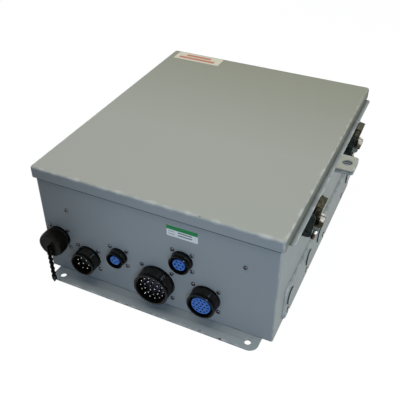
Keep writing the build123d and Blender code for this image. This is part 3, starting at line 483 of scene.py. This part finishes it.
braid, tree, shader, place = new_finish("braided_nylon_sleeve", IOR=1.53, Sheen_Weight=0.2)
weave = add_node(tree, "TexVoronoi", cells(place, 1.6)).outputs["Distance"]
strand = add_node(tree, "ValToRGB", {0: weave})
strand.color_ramp.elements[0].color = paint("#3A3C40")
strand.color_ramp.elements[1].color = paint("#131416")
gloss = add_node(tree, "MapRange", {"Value": weave, "To Min": 0.45, "To Max": 0.8})
lattice = {"Strength": 0.5, "Distance": 0.25 * mm, "Height": weave}
bump = add_node(tree, "Bump", lattice, invert=True)
fill(tree, shader, {"Base Color": strand, "Roughness": gloss, "Normal": bump})

core_iron, tree, shader, place = new_finish("varnished_iron_laminations", Metallic=0.7)
stack = cells(place, 20, Distortion=0.4, Detail=2.0)
sheets = add_node(tree, "TexWave", stack, bands_direction="Z").outputs[1]
leaf = add_node(tree, "ValToRGB", {0: sheets})
leaf.color_ramp.elements[0].color = paint("#3A332B")
leaf.color_ramp.elements[1].color = paint("#74695C")
gloss = add_node(tree, "MapRange", {"Value": sheets, "To Min": 0.6, "To Max": 0.35})
bump = add_node(tree, "Bump", {"Strength": 0.4, "Distance": 0.1 * mm, "Height": sheets})
fill(tree, shader, {"Base Color": leaf, "Roughness": gloss, "Normal": bump})
print("inside finishes made")

# %% [markdown]
# ## Finishes on the CAD solids
# Most solids keep their CAD shape. Each gets its finish by name, and its sharp edges a small round,
# because no folded or stamped edge is truly sharp and a round one catches a line of light. The packed
# mesh has its corners split, so a weld joins them before the bevel.

# %% Dress the CAD solids
finish_of = {
    "enclosure_body": enamel_body, "lid": enamel_lid, "lid_lip": enamel_lip, "side_plate": enamel_plate,
    "mounting_foot_front": enamel_foot["front"], "mounting_foot_rear": enamel_foot["rear"],
    "hasp_lid_tab": enamel_tab, "hasp_body_tab": enamel_angle, "hole_plugs": enamel_plug,
    "lid_gasket": sponge_rubber, "cap_gasket": sponge_rubber, "tie_bar": dull_zinc,
    "hinge_lid_leaf": enamel_body, "hinge_body_leaf": enamel_body, "hinge_pin": bright_zinc,
    "dust_cap": anodised_cap, "chain_swivel": black_steel, "cap_chain": black_steel, "chain_end": black_steel,
    "receptacle_screws": glint_and_shade_zinc, "tie_bar_screws": glint_and_shade_zinc, "side_plate_screws": bright_zinc,
    "sub_panel": white_panel, "panel_studs": bright_zinc, "panel_nuts": bright_zinc,
    "terminal_strip": relay_black, "terminal_screws": brass, "board_standoffs": brass,
    "control_board": laminate, "board_header": relay_black, "relays": relay_black,
    "capacitors": can_sleeve, "transformer": core_iron, "wire_looms": braid, "board_harness": braid,
}
clamp_finishes = {
    "bracket": zinc_with_painted_shade, "pin": zinc_with_painted_shade, "block": dull_zinc, "hook": olive_zinc_with_painted_reflection, "screw": bolt_zinc
}
for part, finish in clamp_finishes.items():
    finish_of[f"clamp_front_{part}"] = finish_of[f"clamp_rear_{part}"] = finish
pin_receptacles = (1, 2, 4)
for number in range(1, 7):
    finish_of[f"receptacle_{number}_shell"] = anodised_shell
    finish_of[f"receptacle_{number}_insert"] = dark_insert if number in pin_receptacles else blue_insert
    if number in pin_receptacles:
        finish_of[f"receptacle_{number}_pins"] = silver_with_painted_shade
finish_of["receptacle_4_insert"] = shaded_blue_insert

edge_round = 0.25 * mm
weld_reach = 0.002 * mm
soft_edges = (
    "lid", "enclosure_body", "mounting_foot", "side_plate", "hasp", "clamp", "hinge", "relays",
    "terminal_strip"
)
for name, solid in nodes.items():
    solid.data.materials.clear()
    solid.data.materials.append(finish_of[name])
    weld = solid.modifiers.new("weld", "WELD")
    weld.merge_threshold = weld_reach
    if name.startswith(soft_edges):
        bevel = solid.modifiers.new("edge_round", "BEVEL")
        bevel.width = edge_round
        bevel.segments = 2
        bevel.limit_method = "ANGLE"
        bevel.angle_limit = math.radians(40)
        bevel.harden_normals = True
print("dressed", len(nodes), "solids")

# %% [markdown]
# ## Making turned pieces
# Shells, caps, pins and screws are all turned, so one helper turns a section round an axis. The section
# is asked for anew at every step of the turn. That gives more than a plain lathe: a section that moves
# along the axis as it turns cuts a thread, and one whose radius changes with the turn makes a knurl, a
# hexagon or a square flange. A second helper joins such pieces in one mesh and lets it ride on a body.

# %% Turning and joining helpers
def angles(count):
    """A full turn in equal steps."""
    return [2 * math.pi * i / count for i in range(count)]


def on_axis(low, high, y):
    """The middle of a box in X and Z, at a level of Y."""
    return Vector(((low.x + high.x) / 2, y, (low.z + high.z) / 2))


def band(here, there, count):
    """Faces that join two closed rows of points, which start at these indices."""
    return [(here + i, there + i, there + (i + 1) % count, here + (i + 1) % count) for i in range(count)]


def turned(section, steps):
    """Vertices and faces of a body turned round Z; section(share) lists (radius, height) in metres."""
    rows = [section(step / steps) for step in range(steps)]
    size = len(rows[0])
    turns = zip(angles(steps), rows)
    vertices = [(r * math.cos(t), r * math.sin(t), height) for t, row in turns for r, height in row]
    faces = []
    for step in range(steps):
        faces += band(step * size, (step + 1) % steps * size, size)
    return vertices, faces


def facing(place, direction):
    """Matrix that stands a turned piece at a place, its axis along the direction."""
    return Matrix.Translation(place) @ Vector(direction).to_track_quat("Z", "Y").to_matrix().to_4x4()


def make_piece(name, forms, finish, body, crease=32):
    """One mesh object from several (vertices, faces, matrix) forms, riding on a body."""
    vertices, faces = [], []
    for points, loops, matrix in forms:
        start = len(vertices)
        vertices += [matrix @ Vector(point) for point in points]
        faces += [tuple(start + i for i in loop) for loop in loops]
    mesh = bpy.data.meshes.new(name)
    mesh.from_pydata(vertices, [], faces)
    shape = bmesh.new()
    shape.from_mesh(mesh)
    bmesh.ops.remove_doubles(shape, verts=shape.verts, dist=0.0005 * mm)
    bmesh.ops.dissolve_degenerate(shape, edges=shape.edges, dist=0.0001 * mm)
    bmesh.ops.recalc_face_normals(shape, faces=shape.faces)
    shape.to_mesh(mesh)
    shape.free()
    mesh.shade_smooth()
    mesh.set_sharp_from_angle(angle=math.radians(crease))
    mesh.materials.append(finish)
    piece = bpy.data.objects.new(name, mesh)
    bpy.context.scene.collection.objects.link(piece)
    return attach(piece, body)


def solids_of(name):
    """Lowest and highest corner of each separate solid in a CAD node, in the order of their places."""
    shape = bmesh.new()
    shape.from_mesh(nodes[name].data)
    bmesh.ops.remove_doubles(shape, verts=shape.verts, dist=weld_reach)
    left, boxes = set(shape.verts), []
    while left:
        group, edge = set(), [left.pop()]
        while edge:
            vertex = edge.pop()
            group.add(vertex)
            fresh = [e.other_vert(vertex) for e in vertex.link_edges if e.other_vert(vertex) in left]
            left.difference_update(fresh)
            edge += fresh
        places = list(zip(*(vertex.co for vertex in group)))
        boxes.append((Vector([min(row) for row in places]), Vector([max(row) for row in places])))
    shape.free()
    return sorted(boxes, key=lambda box: [round(side / mm, 3) for corner in box for side in corner])


print("chain links", len(solids_of("cap_chain")), "wall screws", len(solids_of("receptacle_screws")))

# %% [markdown]
# ## Receptacle shells
# Each shell is a barrel with a fine coupling thread, a plain collar at its rim, a stepped mouth with a
# key rib at the top, and a square flange behind the wall. The thread is a real helix with flat crests:
# along the barrel the section's radius dips once per pitch, and the dip moves on by one pitch per turn.

# %% Receptacle shells
thread_pitch = 25.4 / 20 * mm
thread_depth = 0.45 * mm
collar_length = 3.0 * mm
rim_chamfer = 0.5 * mm
flange_corner = 2.5 * mm
mouth_step = 0.7 * mm
key_width = 2.4 * mm
key_height = 1.1 * mm
samples_per_pitch = 6
neck_step = 1.0 * mm
flange_back, flange_front = -3.9 * mm, -1.5 * mm
land_top = 2.0 * mm
thread_start, thread_stop = 2.4 * mm, 0.5 * mm
relief_width, relief_depth = 0.4 * mm, 0.35 * mm
mouth_depth, mouth_chamfer = 2.2 * mm, 0.3 * mm
key_foot = -0.5 * mm
slope = 0.1 * mm


def rounded_square(angle, half, corner):
    """Distance from the middle of a square with rounded corners to its outline."""
    wide, narrow = sorted((abs(math.cos(angle)), abs(math.sin(angle))), reverse=True)
    if half / wide * narrow <= half - corner:
        return half / wide
    inner = half - corner
    return inner * (wide + narrow) + math.sqrt(max(corner ** 2 - (inner * (wide - narrow)) ** 2, 0.0))


def threaded(share, radius, start, end, pitch, depth):
    """Section points along a helical thread with flat crests that fades out over one pitch at both ends."""
    count = max(4, round((end - start) / pitch * samples_per_pitch))
    points = []
    for i in range(count + 1):
        height = start + (end - start) * i / count
        wave = min(1.0, 1.6 * abs((height / pitch - share) % 1.0 * 2 - 1))
        fade = min(1.0, (height - start) / pitch, (end - height) / pitch)
        points.append((radius - depth * fade * (1 - wave), height))
    return points


def shell_section(barrel, bore, land, reach, back, flange):
    """Section of a receptacle shell from its back, round the outside to its mouth and down its bore."""
    collar = reach - collar_length
    neck, relief, mouth = barrel - neck_step, barrel - relief_depth, bore + mouth_step

    def section(share):
        angle = 2 * math.pi * share
        square = rounded_square(angle, flange, flange_corner)
        at_key = abs(math.cos(angle)) * bore < key_width / 2 and math.sin(angle) > 0
        key_bore = bore - key_height if at_key else bore
        points = [(bore, -back), (neck, -back), (neck, flange_back), (square, flange_back)]
        points += [(square, flange_front), (land, flange_front), (land, land_top), (barrel, land_top + slope)]
        points += threaded(share, barrel, thread_start, collar - thread_stop, thread_pitch, thread_depth)
        points += [(relief, collar - relief_width), (relief, collar), (barrel, collar + slope)]
        points += [(barrel, reach - rim_chamfer), (barrel - rim_chamfer, reach)]
        points += [(mouth + mouth_chamfer, reach), (mouth, reach - mouth_chamfer)]
        points += [(mouth, reach - mouth_depth)]
        points += [(key_bore, reach - mouth_depth - slope), (key_bore, key_foot), (bore, key_foot - slope)]
        return points

    return section


barrels = {}
for number in range(1, 7):
    name = f"receptacle_{number}_shell"
    low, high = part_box(name)
    middle = on_axis(low, high, wall_y)
    spread = [(math.hypot(v.co.x - middle.x, v.co.z - middle.z), v.co.y) for v in nodes[name].data.vertices]
    barrels[number] = max(radius for radius, y in spread if y < wall_y - 4 * mm)
    bore = min(radius for radius, y in spread)
    land = max(radius for radius, y in spread if wall_y - 3 * mm < y < wall_y + 0.5 * mm)
    reach, back, flange = wall_y - low.y, high.y - wall_y, (high.x - low.x) / 2
    section = shell_section(barrels[number], bore, land, reach, back, flange)
    form = (*turned(section, 144), facing(middle, out_of_wall))
    shell = make_piece(f"shell_{number}", [form], anodised_shell, "enclosure")
    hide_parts(name)
    print(name, "barrel", round(barrels[number] / mm, 2), "bore", round(bore / mm, 2))

# %% [markdown]
# ## Contact pins
# The pins are turned rods with a domed tip, silver plated. Their places are read off the CAD solids,
# one box for each, so the pattern stays the CAD's own.

# %% Contact pins
pin_root = 0.4 * mm
dome_turns = (0, 0.4, 0.8, 1.2, math.pi / 2)


def pin_section(radius, length):
    """Section of a rod from its root to a domed tip."""
    dome = [(radius * math.cos(t), length - radius + radius * math.sin(t)) for t in dome_turns]
    return lambda share: [(0.0, -pin_root), (radius, -pin_root)] + dome


for number in pin_receptacles:
    name = f"receptacle_{number}_pins"
    forms = []
    for low, high in solids_of(name):
        root = on_axis(low, high, high.y)
        rod = turned(pin_section((high.x - low.x) / 2, high.y - low.y), 16)
        forms.append((*rod, facing(root, out_of_wall)))
    pins = make_piece(f"contact_pins_{number}", forms, silver_with_painted_shade, "enclosure", 50)
    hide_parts(name)
    print(name, len(forms))

# %% [markdown]
# ## Socket inserts
# A socket insert is a blue disc, pierced once for each contact and seated on a wider grommet, with a
# groove round it for the plug. A lathe can't make holes beside the axis, so the face is drawn as one
# outline with the holes as inner outlines, and Blender fills it with triangles. The holes' middles are
# read off the CAD solid: they are the closed rims of sharp edges in its face. A dark tube lies in each.

# %% Socket inserts
hole_radius = 1.2 * mm
hole_depth = 5.0 * mm
lead_in = 0.2 * mm
tube_radius, tube_bore = 1.15 * mm, 0.6 * mm
tube_root, tube_mouth = -4.9 * mm, -0.9 * mm
rim_round = 0.4 * mm


def rims_of(name, level):
    """Middle (x, z) and radius of each closed rim of sharp edges at one level of Y in a CAD node."""
    shape = bmesh.new()
    shape.from_mesh(nodes[name].data)
    bmesh.ops.remove_doubles(shape, verts=shape.verts, dist=weld_reach)
    near = {v for v in shape.verts if abs(v.co.y - level) < 0.01 * mm}
    sharp = [e for e in shape.edges if near.issuperset(e.verts) and e.calc_face_angle(0) > 1.0]
    touching = {v: [e.other_vert(v) for e in v.link_edges if e in set(sharp)] for e in sharp for v in e.verts}
    rims = []
    while touching:
        group, edge = [], [next(iter(touching))]
        while edge:
            vertex = edge.pop()
            if vertex in touching:
                group.append(vertex.co.copy())
                edge += touching.pop(vertex)
        middle = sum(group, Vector()) / len(group)
        rims.append((middle.x, middle.z, (group[0] - middle).length))
    shape.free()
    return rims


def pierced_disc(outer, holes, depth):
    """A disc with a rounded rim and blind holes, its face at height 0; outer and holes are (x, y, radius)."""
    x, y, radius = outer
    rings = [(x, y, 96, [(radius - rim_round, 0.0), (radius, -rim_round), (radius, -depth)])]
    bore = [(hole_radius + lead_in, 0.0), (hole_radius, -lead_in), (hole_radius, -hole_depth)]
    rings += [(x, y, 20, bore) for x, y, radius in holes]
    vertices, faces, outlines, order = [], [], [], []
    for x, y, count, steps in rings:
        start = len(vertices)
        turns = angles(count)
        vertices += [(x + r * math.cos(t), y + r * math.sin(t), height) for r, height in steps for t in turns]
        for k in (start, start + count):
            faces += band(k, k + count, count)
        faces.append(tuple(range(start + 2 * count, start + 3 * count)))
        outlines.append([Vector(vertex) for vertex in vertices[start:start + count]])
        order += range(start, start + count)
    faces += [tuple(order[i] for i in corner) for corner in tessellate_polygon(outlines)]
    return vertices, faces


def contact_section(share):
    """Section of a contact tube that lies in a hole."""
    outside = [(tube_radius, tube_root), (tube_radius, tube_mouth)]
    return [(tube_bore, tube_root), *outside, (tube_bore, tube_mouth)]


for number in (3, 5, 6):
    name = f"receptacle_{number}_insert"
    (low, high), (back_low, back_high) = sorted(solids_of(name), key=lambda box: box[0].y)
    rims = sorted(rims_of(name, low.y), key=lambda rim: rim[2])
    face = facing(Vector((0, low.y, 0)), out_of_wall)
    forms = [(*pierced_disc(rims[-1], rims[:-1], high.y - low.y), face)]
    wide, deep = (back_high.x - back_low.x) / 2, back_high.y - back_low.y
    middle = on_axis(back_low, back_high, back_high.y)
    grommet = turned(lambda share: [(0.0, 0.0), (wide, 0.0), (wide, deep), (0.0, deep)], 64)
    forms.append((*grommet, facing(middle, out_of_wall)))
    insert = make_piece(f"pierced_insert_{number}", forms, blue_insert, "enclosure")
    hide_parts(name)
    tube = turned(contact_section, 16)
    tubes = [(*tube, facing(Vector((x, low.y, z)), out_of_wall)) for x, z, radius in rims[:-1]]
    contacts = make_piece(f"socket_contacts_{number}", tubes, black_steel, "enclosure")
    print(name, "sockets", len(tubes))

# %% [markdown]
# ## Small screws
# The wall screws are pan heads with a cross recess. The recess is part of the turned section: where the
# head's own x or y is inside an arm of the cross, the section dips. Each head is turned further than the
# last, as a hand leaves them.

# %% Small screws
arm_width = 0.95 * mm
arm_depth = 0.9 * mm
arm_reach = 0.68
side_share = 0.45
screw_shank = 1.4 * mm
twist_step = 0.61
head_parts = (0.97, 0.9, 0.8, 0.7, 0.66, 0.55, 0.45, 0.35, 0.25, 0.15, 0.0)


def cross_screw(head, height, tail, twist):
    """Section of a pan head screw with a cross recess, its seat at height 0."""
    def section(share):
        angle = 2 * math.pi * share + twist
        points = [(0.0, -tail), (screw_shank, -tail), (screw_shank, 0.0)]
        points += [(head, 0.0), (head, side_share * height)]
        for part in head_parts:
            radius = part * head
            dome = height * (side_share + (1 - side_share) * math.sqrt(max(1 - part ** 2, 0.0)))
            in_arm = min(abs(radius * math.cos(angle)), abs(radius * math.sin(angle))) < arm_width / 2
            points.append((radius, dome - arm_depth if in_arm and part < arm_reach else dome))
        return points
    return section


def screw_row(name, finish, direction, depth_axis, seat_level):
    """All the screws of one CAD node, rebuilt with recessed heads; gives the middles of their seats."""
    across = 2 if depth_axis == 0 else 0
    forms, seats = [], []
    for index, (low, high) in enumerate(solids_of(name)):
        head = (high[across] - low[across]) / 2
        seat = (low + high) / 2
        seat[depth_axis] = seat_level
        outer, inner = (low[1], high[1]) if depth_axis == 1 else (high[0], low[0])
        height, tail = abs(outer - seat_level), abs(inner - seat_level)
        screw = turned(cross_screw(head, height, tail, twist_step * index), 64)
        forms.append((*screw, facing(seat, direction)))
        seats.append(seat)
    screws = make_piece(f"{name}_recessed", forms, finish, "enclosure", 28)
    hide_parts(name)
    print(name, len(forms))
    return seats


plate_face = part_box("side_plate")[1].x
screw_row("receptacle_screws", glint_and_shade_zinc, out_of_wall, 1, wall_y)
screw_row("tie_bar_screws", glint_and_shade_zinc, out_of_wall, 1, wall_y)
side_seats = screw_row("side_plate_screws", bright_zinc, (1, 0, 0), 0, plate_face)

# %% [markdown]
# ## Sealing rings
# In the photograph each screw of the side plate has a dark ring round its bright head: a rubber sealing
# ring that keeps water out of the hole. It is a squashed round section turned about the screw.

# %% Sealing rings
ring_radius = 3.0 * mm
ring_wire = 0.6 * mm
squash = 0.7


def ring_section(share):
    """Section of a rubber ring that lies on the plate."""
    flat_wire = squash * ring_wire
    return [(ring_radius + ring_wire * math.cos(t), flat_wire * (1 + math.sin(t))) for t in angles(12)]


forms = [(*turned(ring_section, 40), facing(seat, (1, 0, 0))) for seat in side_seats]
seals = make_piece("screw_sealing_rings", forms, sponge_rubber, "enclosure", 60)
print(seals.name, len(forms))

# %% [markdown]
# ## Dust cap
# The cap is a threaded cup. Its grip is a straight knurl, which a wheel rolls into the turned blank, so
# the section's radius waves sixty times round. The rest keeps the CAD's steps.

# %% Dust cap
cap_low, cap_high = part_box("dust_cap")
cap_radius = (cap_high.x - cap_low.x) / 2
cap_mouth, cap_face = wall_y - cap_high.y, wall_y - cap_low.y
cap_bore = barrels[1] + 0.25 * mm
cap_floor = cap_face - 2.6 * mm
knurl_count = 60
knurl_depth = 0.45 * mm
mouth_cone = 3.7 * mm
knurl_start, knurl_end = 4.3 * mm, 3.6 * mm
rim_step = 0.3 * mm
bead_start, bead_end, bead_dip = 3.0 * mm, 2.4 * mm, 0.1 * mm
edge_drop, edge_slant, edge_inset = 0.2 * mm, 0.9 * mm, 1.3 * mm
face_ring = 3.9 * mm
dish_depth, dish_slope = 0.35 * mm, 0.4 * mm
boss_radius = 4.0 * mm
swivel_hole = 1.85 * mm


def cap_section(share):
    """Section of the cap from its mouth over the knurl and the dished face to the floor of the cup."""
    grip = cap_radius - knurl_depth * (0.5 + 0.5 * math.cos(2 * math.pi * knurl_count * share))
    rim, shoulder = cap_radius - rim_step, (cap_bore + cap_radius) / 2
    ring, dish = rim - face_ring, cap_face - dish_depth
    points = [(cap_bore, cap_mouth), (shoulder, cap_mouth), (rim, cap_mouth + mouth_cone)]
    points += [(grip, cap_mouth + knurl_start), (grip, cap_face - knurl_end)]
    points += [(rim - bead_dip, cap_face - bead_start), (rim, cap_face - bead_end)]
    points += [(rim - edge_slant, cap_face - edge_drop), (rim - edge_inset, cap_face), (ring, cap_face)]
    points += [(ring - dish_slope, dish), (boss_radius + dish_slope, dish), (boss_radius, cap_face)]
    points += [(swivel_hole, cap_face), (swivel_hole, cap_floor), (cap_bore, cap_floor)]
    return points


cap_axis = on_axis(cap_low, cap_high, wall_y)
form = (*turned(cap_section, 360), facing(cap_axis, out_of_wall))
cap = make_piece("knurled_dust_cap", [form], anodised_cap, "cap_cup", 40)
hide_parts("dust_cap")
print("cap radius", round(cap_radius / mm, 2))

# %% [markdown]
# ## Cap chain
# The chain is bent wire: each link is an oval of round wire, a quarter turn from the last. Its centre
# line is two straights and two half circles, and a small ring of points follows it. The wire is thicker
# than the CAD's and the links along the wall are wider, so that the chain shows at this distance.

# %% Cap chain
link_wire = 1.0 * mm
link_spread = 0.8 * mm
wire_sides = 10
bend_steps = 12


def wire_link(middle, width_axis, length, width, radius):
    """An oval link of round wire standing along Z."""
    half = width / 2 - radius
    straight = length / 2 - radius - half
    normal = width_axis.cross(Vector((0, 0, 1)))
    turns = [(end, math.pi * i / bend_steps) for end in (1, -1) for i in range(bend_steps + 1)]
    vertices, faces = [], []
    for end, t in turns:
        out = width_axis * end * math.cos(t) + Vector((0, 0, end * math.sin(t)))
        centre = middle + half * out + Vector((0, 0, end * straight))
        round_wire = [math.cos(s) * out + math.sin(s) * normal for s in angles(wire_sides)]
        vertices += [centre + radius * side for side in round_wire]
    for i in range(len(turns)):
        faces += band(i * wire_sides, (i + 1) % len(turns) * wire_sides, wire_sides)
    return vertices, faces


forms = []
for low, high in solids_of("cap_chain"):
    size = high - low
    along_wall = size.x > size.y
    width_axis = Vector((1, 0, 0)) if along_wall else Vector((0, 1, 0))
    wide = size.x + link_spread if along_wall else size.y
    forms.append((*wire_link((low + high) / 2, width_axis, size.z, wide, link_wire), Matrix.Identity(4)))
chain = make_piece("wire_cap_chain", forms, black_steel, "chain_run", 60)
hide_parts("cap_chain")
print("links", len(forms))

# %% [markdown]
# ## Clamp screws
# A clamp screw is a slotted hexagon head on a 5 mm threaded shank. The hexagon is a turned section whose
# radius follows its flats, and the slot dips the section as the cross recess did.

# %% Clamp screws
lean = math.radians(11)
lean_out = Vector((math.cos(lean), 0, -math.sin(lean)))
lean_up = Vector((math.sin(lean), 0, math.cos(lean)))
bolt_offset = 6.7 * mm
shank_radius = 2.5 * mm
shank_tail = 20.6 * mm
head_seat = 8.5 * mm
head_height = 7.0 * mm
head_half = 4.75 * mm
slot_half = 0.7 * mm
slot_depth = 1.8 * mm
bolt_pitch, bolt_thread = 0.9 * mm, 0.4 * mm
tail_step, tail_chamfer = 0.6 * mm, 0.5 * mm
neck_length = 0.4 * mm
foot_chamfer, top_chamfer = 0.5 * mm, 0.7 * mm
corner_share = 1.06
slot_parts = (1.0, 0.85, 0.7, 0.55, 0.4, 0.3, 0.2, 0.1, 0.0)


def bolt_section(share):
    """Section of a clamp screw from its tail over the thread to its slotted hexagon head."""
    angle = 2 * math.pi * share
    flat = head_half / math.cos((angle + math.pi / 6) % (math.pi / 3) - math.pi / 6)
    corner = corner_share * head_half
    top = head_seat + head_height
    start, stop = tail_chamfer - shank_tail, head_seat - neck_length
    points = [(0.0, -shank_tail), (shank_radius - tail_step, -shank_tail)]
    points += threaded(share, shank_radius, start, stop, bolt_pitch, bolt_thread)
    points += [(shank_radius, head_seat), (min(flat, corner), head_seat)]
    points += [(flat, head_seat + foot_chamfer), (flat, top - top_chamfer)]
    for part in slot_parts:
        radius = part * min(flat, corner)
        in_slot = abs(radius * math.sin(angle)) < slot_half
        points.append((radius, top - slot_depth if in_slot else top))
    return points


for end in ("front", "rear"):
    low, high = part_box(f"clamp_{end}_pin")
    pivot = (low + high) / 2
    stand = Matrix((lean_out, (0, 1, 0), lean_up)).transposed().to_4x4()
    form = (*turned(bolt_section, 96), Matrix.Translation(pivot + bolt_offset * lean_out) @ stand)
    bolt = make_piece(f"slotted_clamp_screw_{end}", [form], bolt_zinc, f"clamp_{end}_bolt", 30)
    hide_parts(f"clamp_{end}_screw")
    print(bolt.name, [round(c / mm, 1) for c in pivot])

# %% [markdown]
# ## Printed plates
# A label lies on the lid's far left corner and a small sticker on the front wall. Both are printed vinyl
# about a quarter of a millimetre thick. They carry plain fields of colour here: two bands on the label,
# and a green head over white with a few ruled lines on the sticker. Each field is a thin film of ink.

# %% Printed plates
def vinyl(name, colour, worn):
    """Printed vinyl film, a little yellowed in clouds, with a satin face."""
    finish, tree, shader, place = new_finish(name, IOR=1.54, Specular_IOR_Level=0.2)
    age = add_node(tree, "TexNoise", cells(place, 9, Detail=5.0, Roughness=0.65))
    tint = add_node(tree, "Mix", {0: age, 6: paint(colour), 7: paint(worn)}, data_type="RGBA")
    gloss = add_node(tree, "MapRange", {"Value": age, "To Min": 0.34, "To Max": 0.52})
    fill(tree, shader, {"Base Color": tint.outputs[2], "Roughness": gloss})
    return finish


def film(low, high, thickness, corner):
    """A flat plate with rounded corners between two points of a plane, standing on Z = 0."""
    corners = ((high[0], high[1]), (low[0], high[1]), (low[0], low[1]), (high[0], low[1]))
    outline = []
    for quarter, (x, y) in enumerate(corners):
        inner_x = x - corner if quarter in (0, 3) else x + corner
        inner_y = y - corner if quarter in (0, 1) else y + corner
        for i in range(5):
            t = math.pi / 2 * (quarter + i / 4)
            outline.append((inner_x + corner * math.cos(t), inner_y + corner * math.sin(t)))
    count = len(outline)
    vertices = [(x, y, 0.0) for x, y in outline] + [(x, y, thickness) for x, y in outline]
    faces = [tuple(range(count - 1, -1, -1)), tuple(range(count, 2 * count))]
    faces += band(0, count, count)
    return vertices, faces


cream_vinyl = vinyl("cream_printed_vinyl", "#DAD7C4", "#CFCBB4")
red_ink = vinyl("orange_red_screen_ink", "#B0634C", "#C58E78")
white_vinyl = vinyl("white_printed_vinyl", "#EEF2F0", "#E2E9E7")
green_ink = vinyl("green_screen_ink", "#0C7F42", "#158A4C")
grey_ink = vinyl("grey_screen_ink", "#33383C", "#4A5054")

film_thickness = 0.25 * mm
ink_thickness = 0.04 * mm
label_fields = (((-129, 171), (-88, 177)), ((-138, 162), (-79, 168)))
label_low, label_high = (-145.2 * mm, 157.4 * mm), (-69.6 * mm, 181.4 * mm)
on_lid = Matrix.Translation((0, 0, lid_high.z))
on_label = Matrix.Translation((0, 0, lid_high.z + film_thickness))
form = (*film(label_low, label_high, film_thickness, 1.5 * mm), on_lid)
label = make_piece("label_plate", [form], cream_vinyl, "lid_assembly")
bands = []
for low, high in label_fields:
    field = film([side * mm for side in low], [side * mm for side in high], ink_thickness, 0.4 * mm)
    bands.append((*field, on_label))
label_bands = make_piece("label_bands", bands, red_ink, "lid_assembly")

sticker_left, sticker_right, sticker_foot, sticker_head = 20.8 * mm, 58.7 * mm, 115.3 * mm, 130.4 * mm
green_foot = sticker_head - 5.6 * mm
on_wall = facing(Vector((0, wall_y, 0)), out_of_wall)
on_sticker = facing(Vector((0, wall_y - film_thickness, 0)), out_of_wall)
form = (*film((sticker_left, sticker_foot), (sticker_right, sticker_head), film_thickness, 0.8 * mm), on_wall)
sticker = make_piece("sticker_plate", [form], white_vinyl, "enclosure")
form = (*film((sticker_left, green_foot), (sticker_right, sticker_head), ink_thickness, 0.6 * mm), on_sticker)
sticker_band = make_piece("sticker_band", [form], green_ink, "enclosure")
rule_spans = ((2.0, 10.0, 0.5), (14.0, 31.0, 1.3))
rule_drop, rule_pitch = 2.8, 3.6
rules = []
for row in range(2):
    level = green_foot - (rule_drop + rule_pitch * row) * mm
    for start, end, height in rule_spans:
        left, right = sticker_left + start * mm, sticker_left + end * mm
        rule = film((left, level), (right, level + height * mm), ink_thickness, 0.2 * mm)
        rules.append((*rule, on_sticker))
sticker_rules = make_piece("sticker_rules", rules, grey_ink, "enclosure")
print("plates", label.name, sticker.name, "rules", len(rules))
